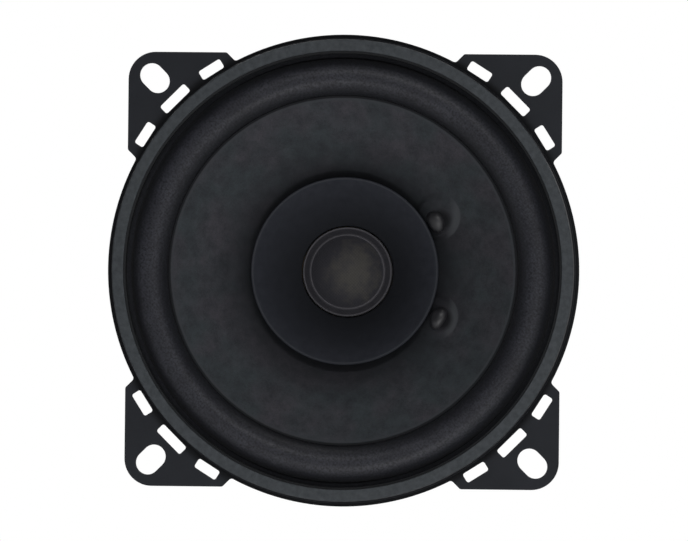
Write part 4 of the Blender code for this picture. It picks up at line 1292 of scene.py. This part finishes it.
def make_floor():
    """A round white table top, well below the speaker, that fades out at its edge."""
    f = Finish("table", 0.9)
    radius = f.node("ShaderNodeVectorMath", {0: f.mm}, "Value", operation="LENGTH")
    fade = f.spread(radius, TABLE_RADIUS * 0.3, TABLE_RADIUS - 40.0)
    glow = f.node("ShaderNodeEmission", {"Strength": 1.02})
    blend = f.node("ShaderNodeMixShader", {0: fade, 1: f.shader.outputs[0], 2: glow})
    f.feed(f.tree.nodes["Material Output"].inputs["Surface"], blend)
    material = f.done(f.mix(f.noise(0.4, 2.0), (0.8, 0.8, 0.8), (0.84, 0.84, 0.84)))
    bm = bmesh.new()
    bmesh.ops.create_circle(bm, cap_ends=True, segments=96, radius=TABLE_RADIUS)
    floor = object_of("table_top", bm, material)
    floor.location = (0.0, 0.0, CAD_BOX[0].z - TABLE_DROP * MM)
    floor.visible_shadow = False  # lets the lower lamp through


def make_camera():
    """A long lens, slightly to the right of the axis and below it, with a small roll."""
    data = bpy.data.cameras.new("camera")
    data.sensor_width = 36.0
    data.lens = CAMERA_LENS
    data.clip_end = 20.0
    camera = add_object("camera", data)
    back = outward(*CAMERA_VIEW)
    camera.location = Vector(CAMERA_AIM) + back * CAMERA_DISTANCE
    roll = Matrix.Rotation(math.radians(CAMERA_ROLL), 3, "Z").to_quaternion()
    camera.rotation_euler = ((-back).to_track_quat("-Z", "Y") @ roll).to_euler()
    bpy.context.scene.camera = camera


make_world()
make_floor()
make_camera()
for lamp in LAMPS:
    soft_box(*lamp)
bpy.context.scene.view_settings.view_transform = "Standard"

# ---------------------------------------------------------------- assembly


def carry(item, body, node):
    """A rigid piece that stands for a CAD node, on one body."""
    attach(item, body)
    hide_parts(node)
    return item


def bend(item, slot_name, node, weights):
    """Bakes a piece's placement into its mesh and hides its CAD node. Each point's weight is 0 on the
    frame, 1 on the cone; the weights are made into an array that is not kept.
    """
    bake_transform(item)
    np.array(weights, np.float32)
    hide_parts(node)


def bend_ring(item, slot_name, node, inner, outer):
    """Gives a ring's points weights: 1, with the cone, inside one radius, falling to 0, with the frame,
    outside the other, then passes it to bend.
    """
    reach = [math.hypot(vert.co.x, vert.co.z) / MM for vert in item.data.vertices]
    bend(item, slot_name, node, [1 - smooth(radius, inner, outer) for radius in reach])


carry(make_basket(), FRAME_BODY, "basket")
gasket = carry(make_gasket(), FRAME_BODY, "gasket")
bend_ring(make_surround(), "surround_cloth", "surround", 38.2, 45.7)
bend_ring(make_spider(), "spider_cloth", "spider", 10.8, 27.5)
carry(make_cone(), MOVING_BODY, "cone")
carry(make_whizzer(), MOVING_BODY, "whizzer_cone")
carry(make_cap(), MOVING_BODY, "dust_cap")
carry(tube("former_tube", FORMER, kapton()), MOVING_BODY, "voice_coil_former")
carry(tube("paper_collar", COLLAR, mottled("collar_paper")), MOVING_BODY, "former_collar")
carry(make_winding(), MOVING_BODY, "voice_coil_winding")
carry(make_neck_glue(), MOVING_BODY, "neck_glue")
carry(make_top_plate(), FRAME_BODY, "top_plate")
carry(make_magnet(), FRAME_BODY, "magnet")
carry(make_yoke(), FRAME_BODY, "yoke_and_pole")
steel, brass, adhesive = zinc_plate(), tinned_brass(), mottled("black_adhesive")
joint_metal, braid = mottled("solder"), mottled("tinsel")
for i, diagonal in enumerate(DIAGONALS, 1):
    carry(make_rivet(f"rivet_{i}", diagonal, steel), FRAME_BODY, f"basket_rivet_{i}")
carry(make_board(), FRAME_BODY, "terminal_board")
for sign, (_, width) in zip(("positive", "negative"), BLADES):
    blade = make_blade(f"blade_{sign}", f"terminal_{sign}", width, brass)
    carry(blade, FRAME_BODY, f"terminal_{sign}")
carry(make_card_rivet(), FRAME_BODY, "terminal_rivet")
for label, side in (("upper", 1), ("lower", -1)):
    carry(make_dot(f"dot_{label}", side, adhesive), MOVING_BODY, f"lead_dot_{label}")
    joint = make_solder(f"solder_blob_{label}", f"solder_joint_{label}", joint_metal)
    carry(joint, FRAME_BODY, f"solder_joint_{label}")
    lead, shares = make_lead(f"braid_{label}", side, braid)
    bend(lead, "tinsel_braid", f"tinsel_lead_{label}", [smooth(share, 0.0, 1.0) for share in shares])
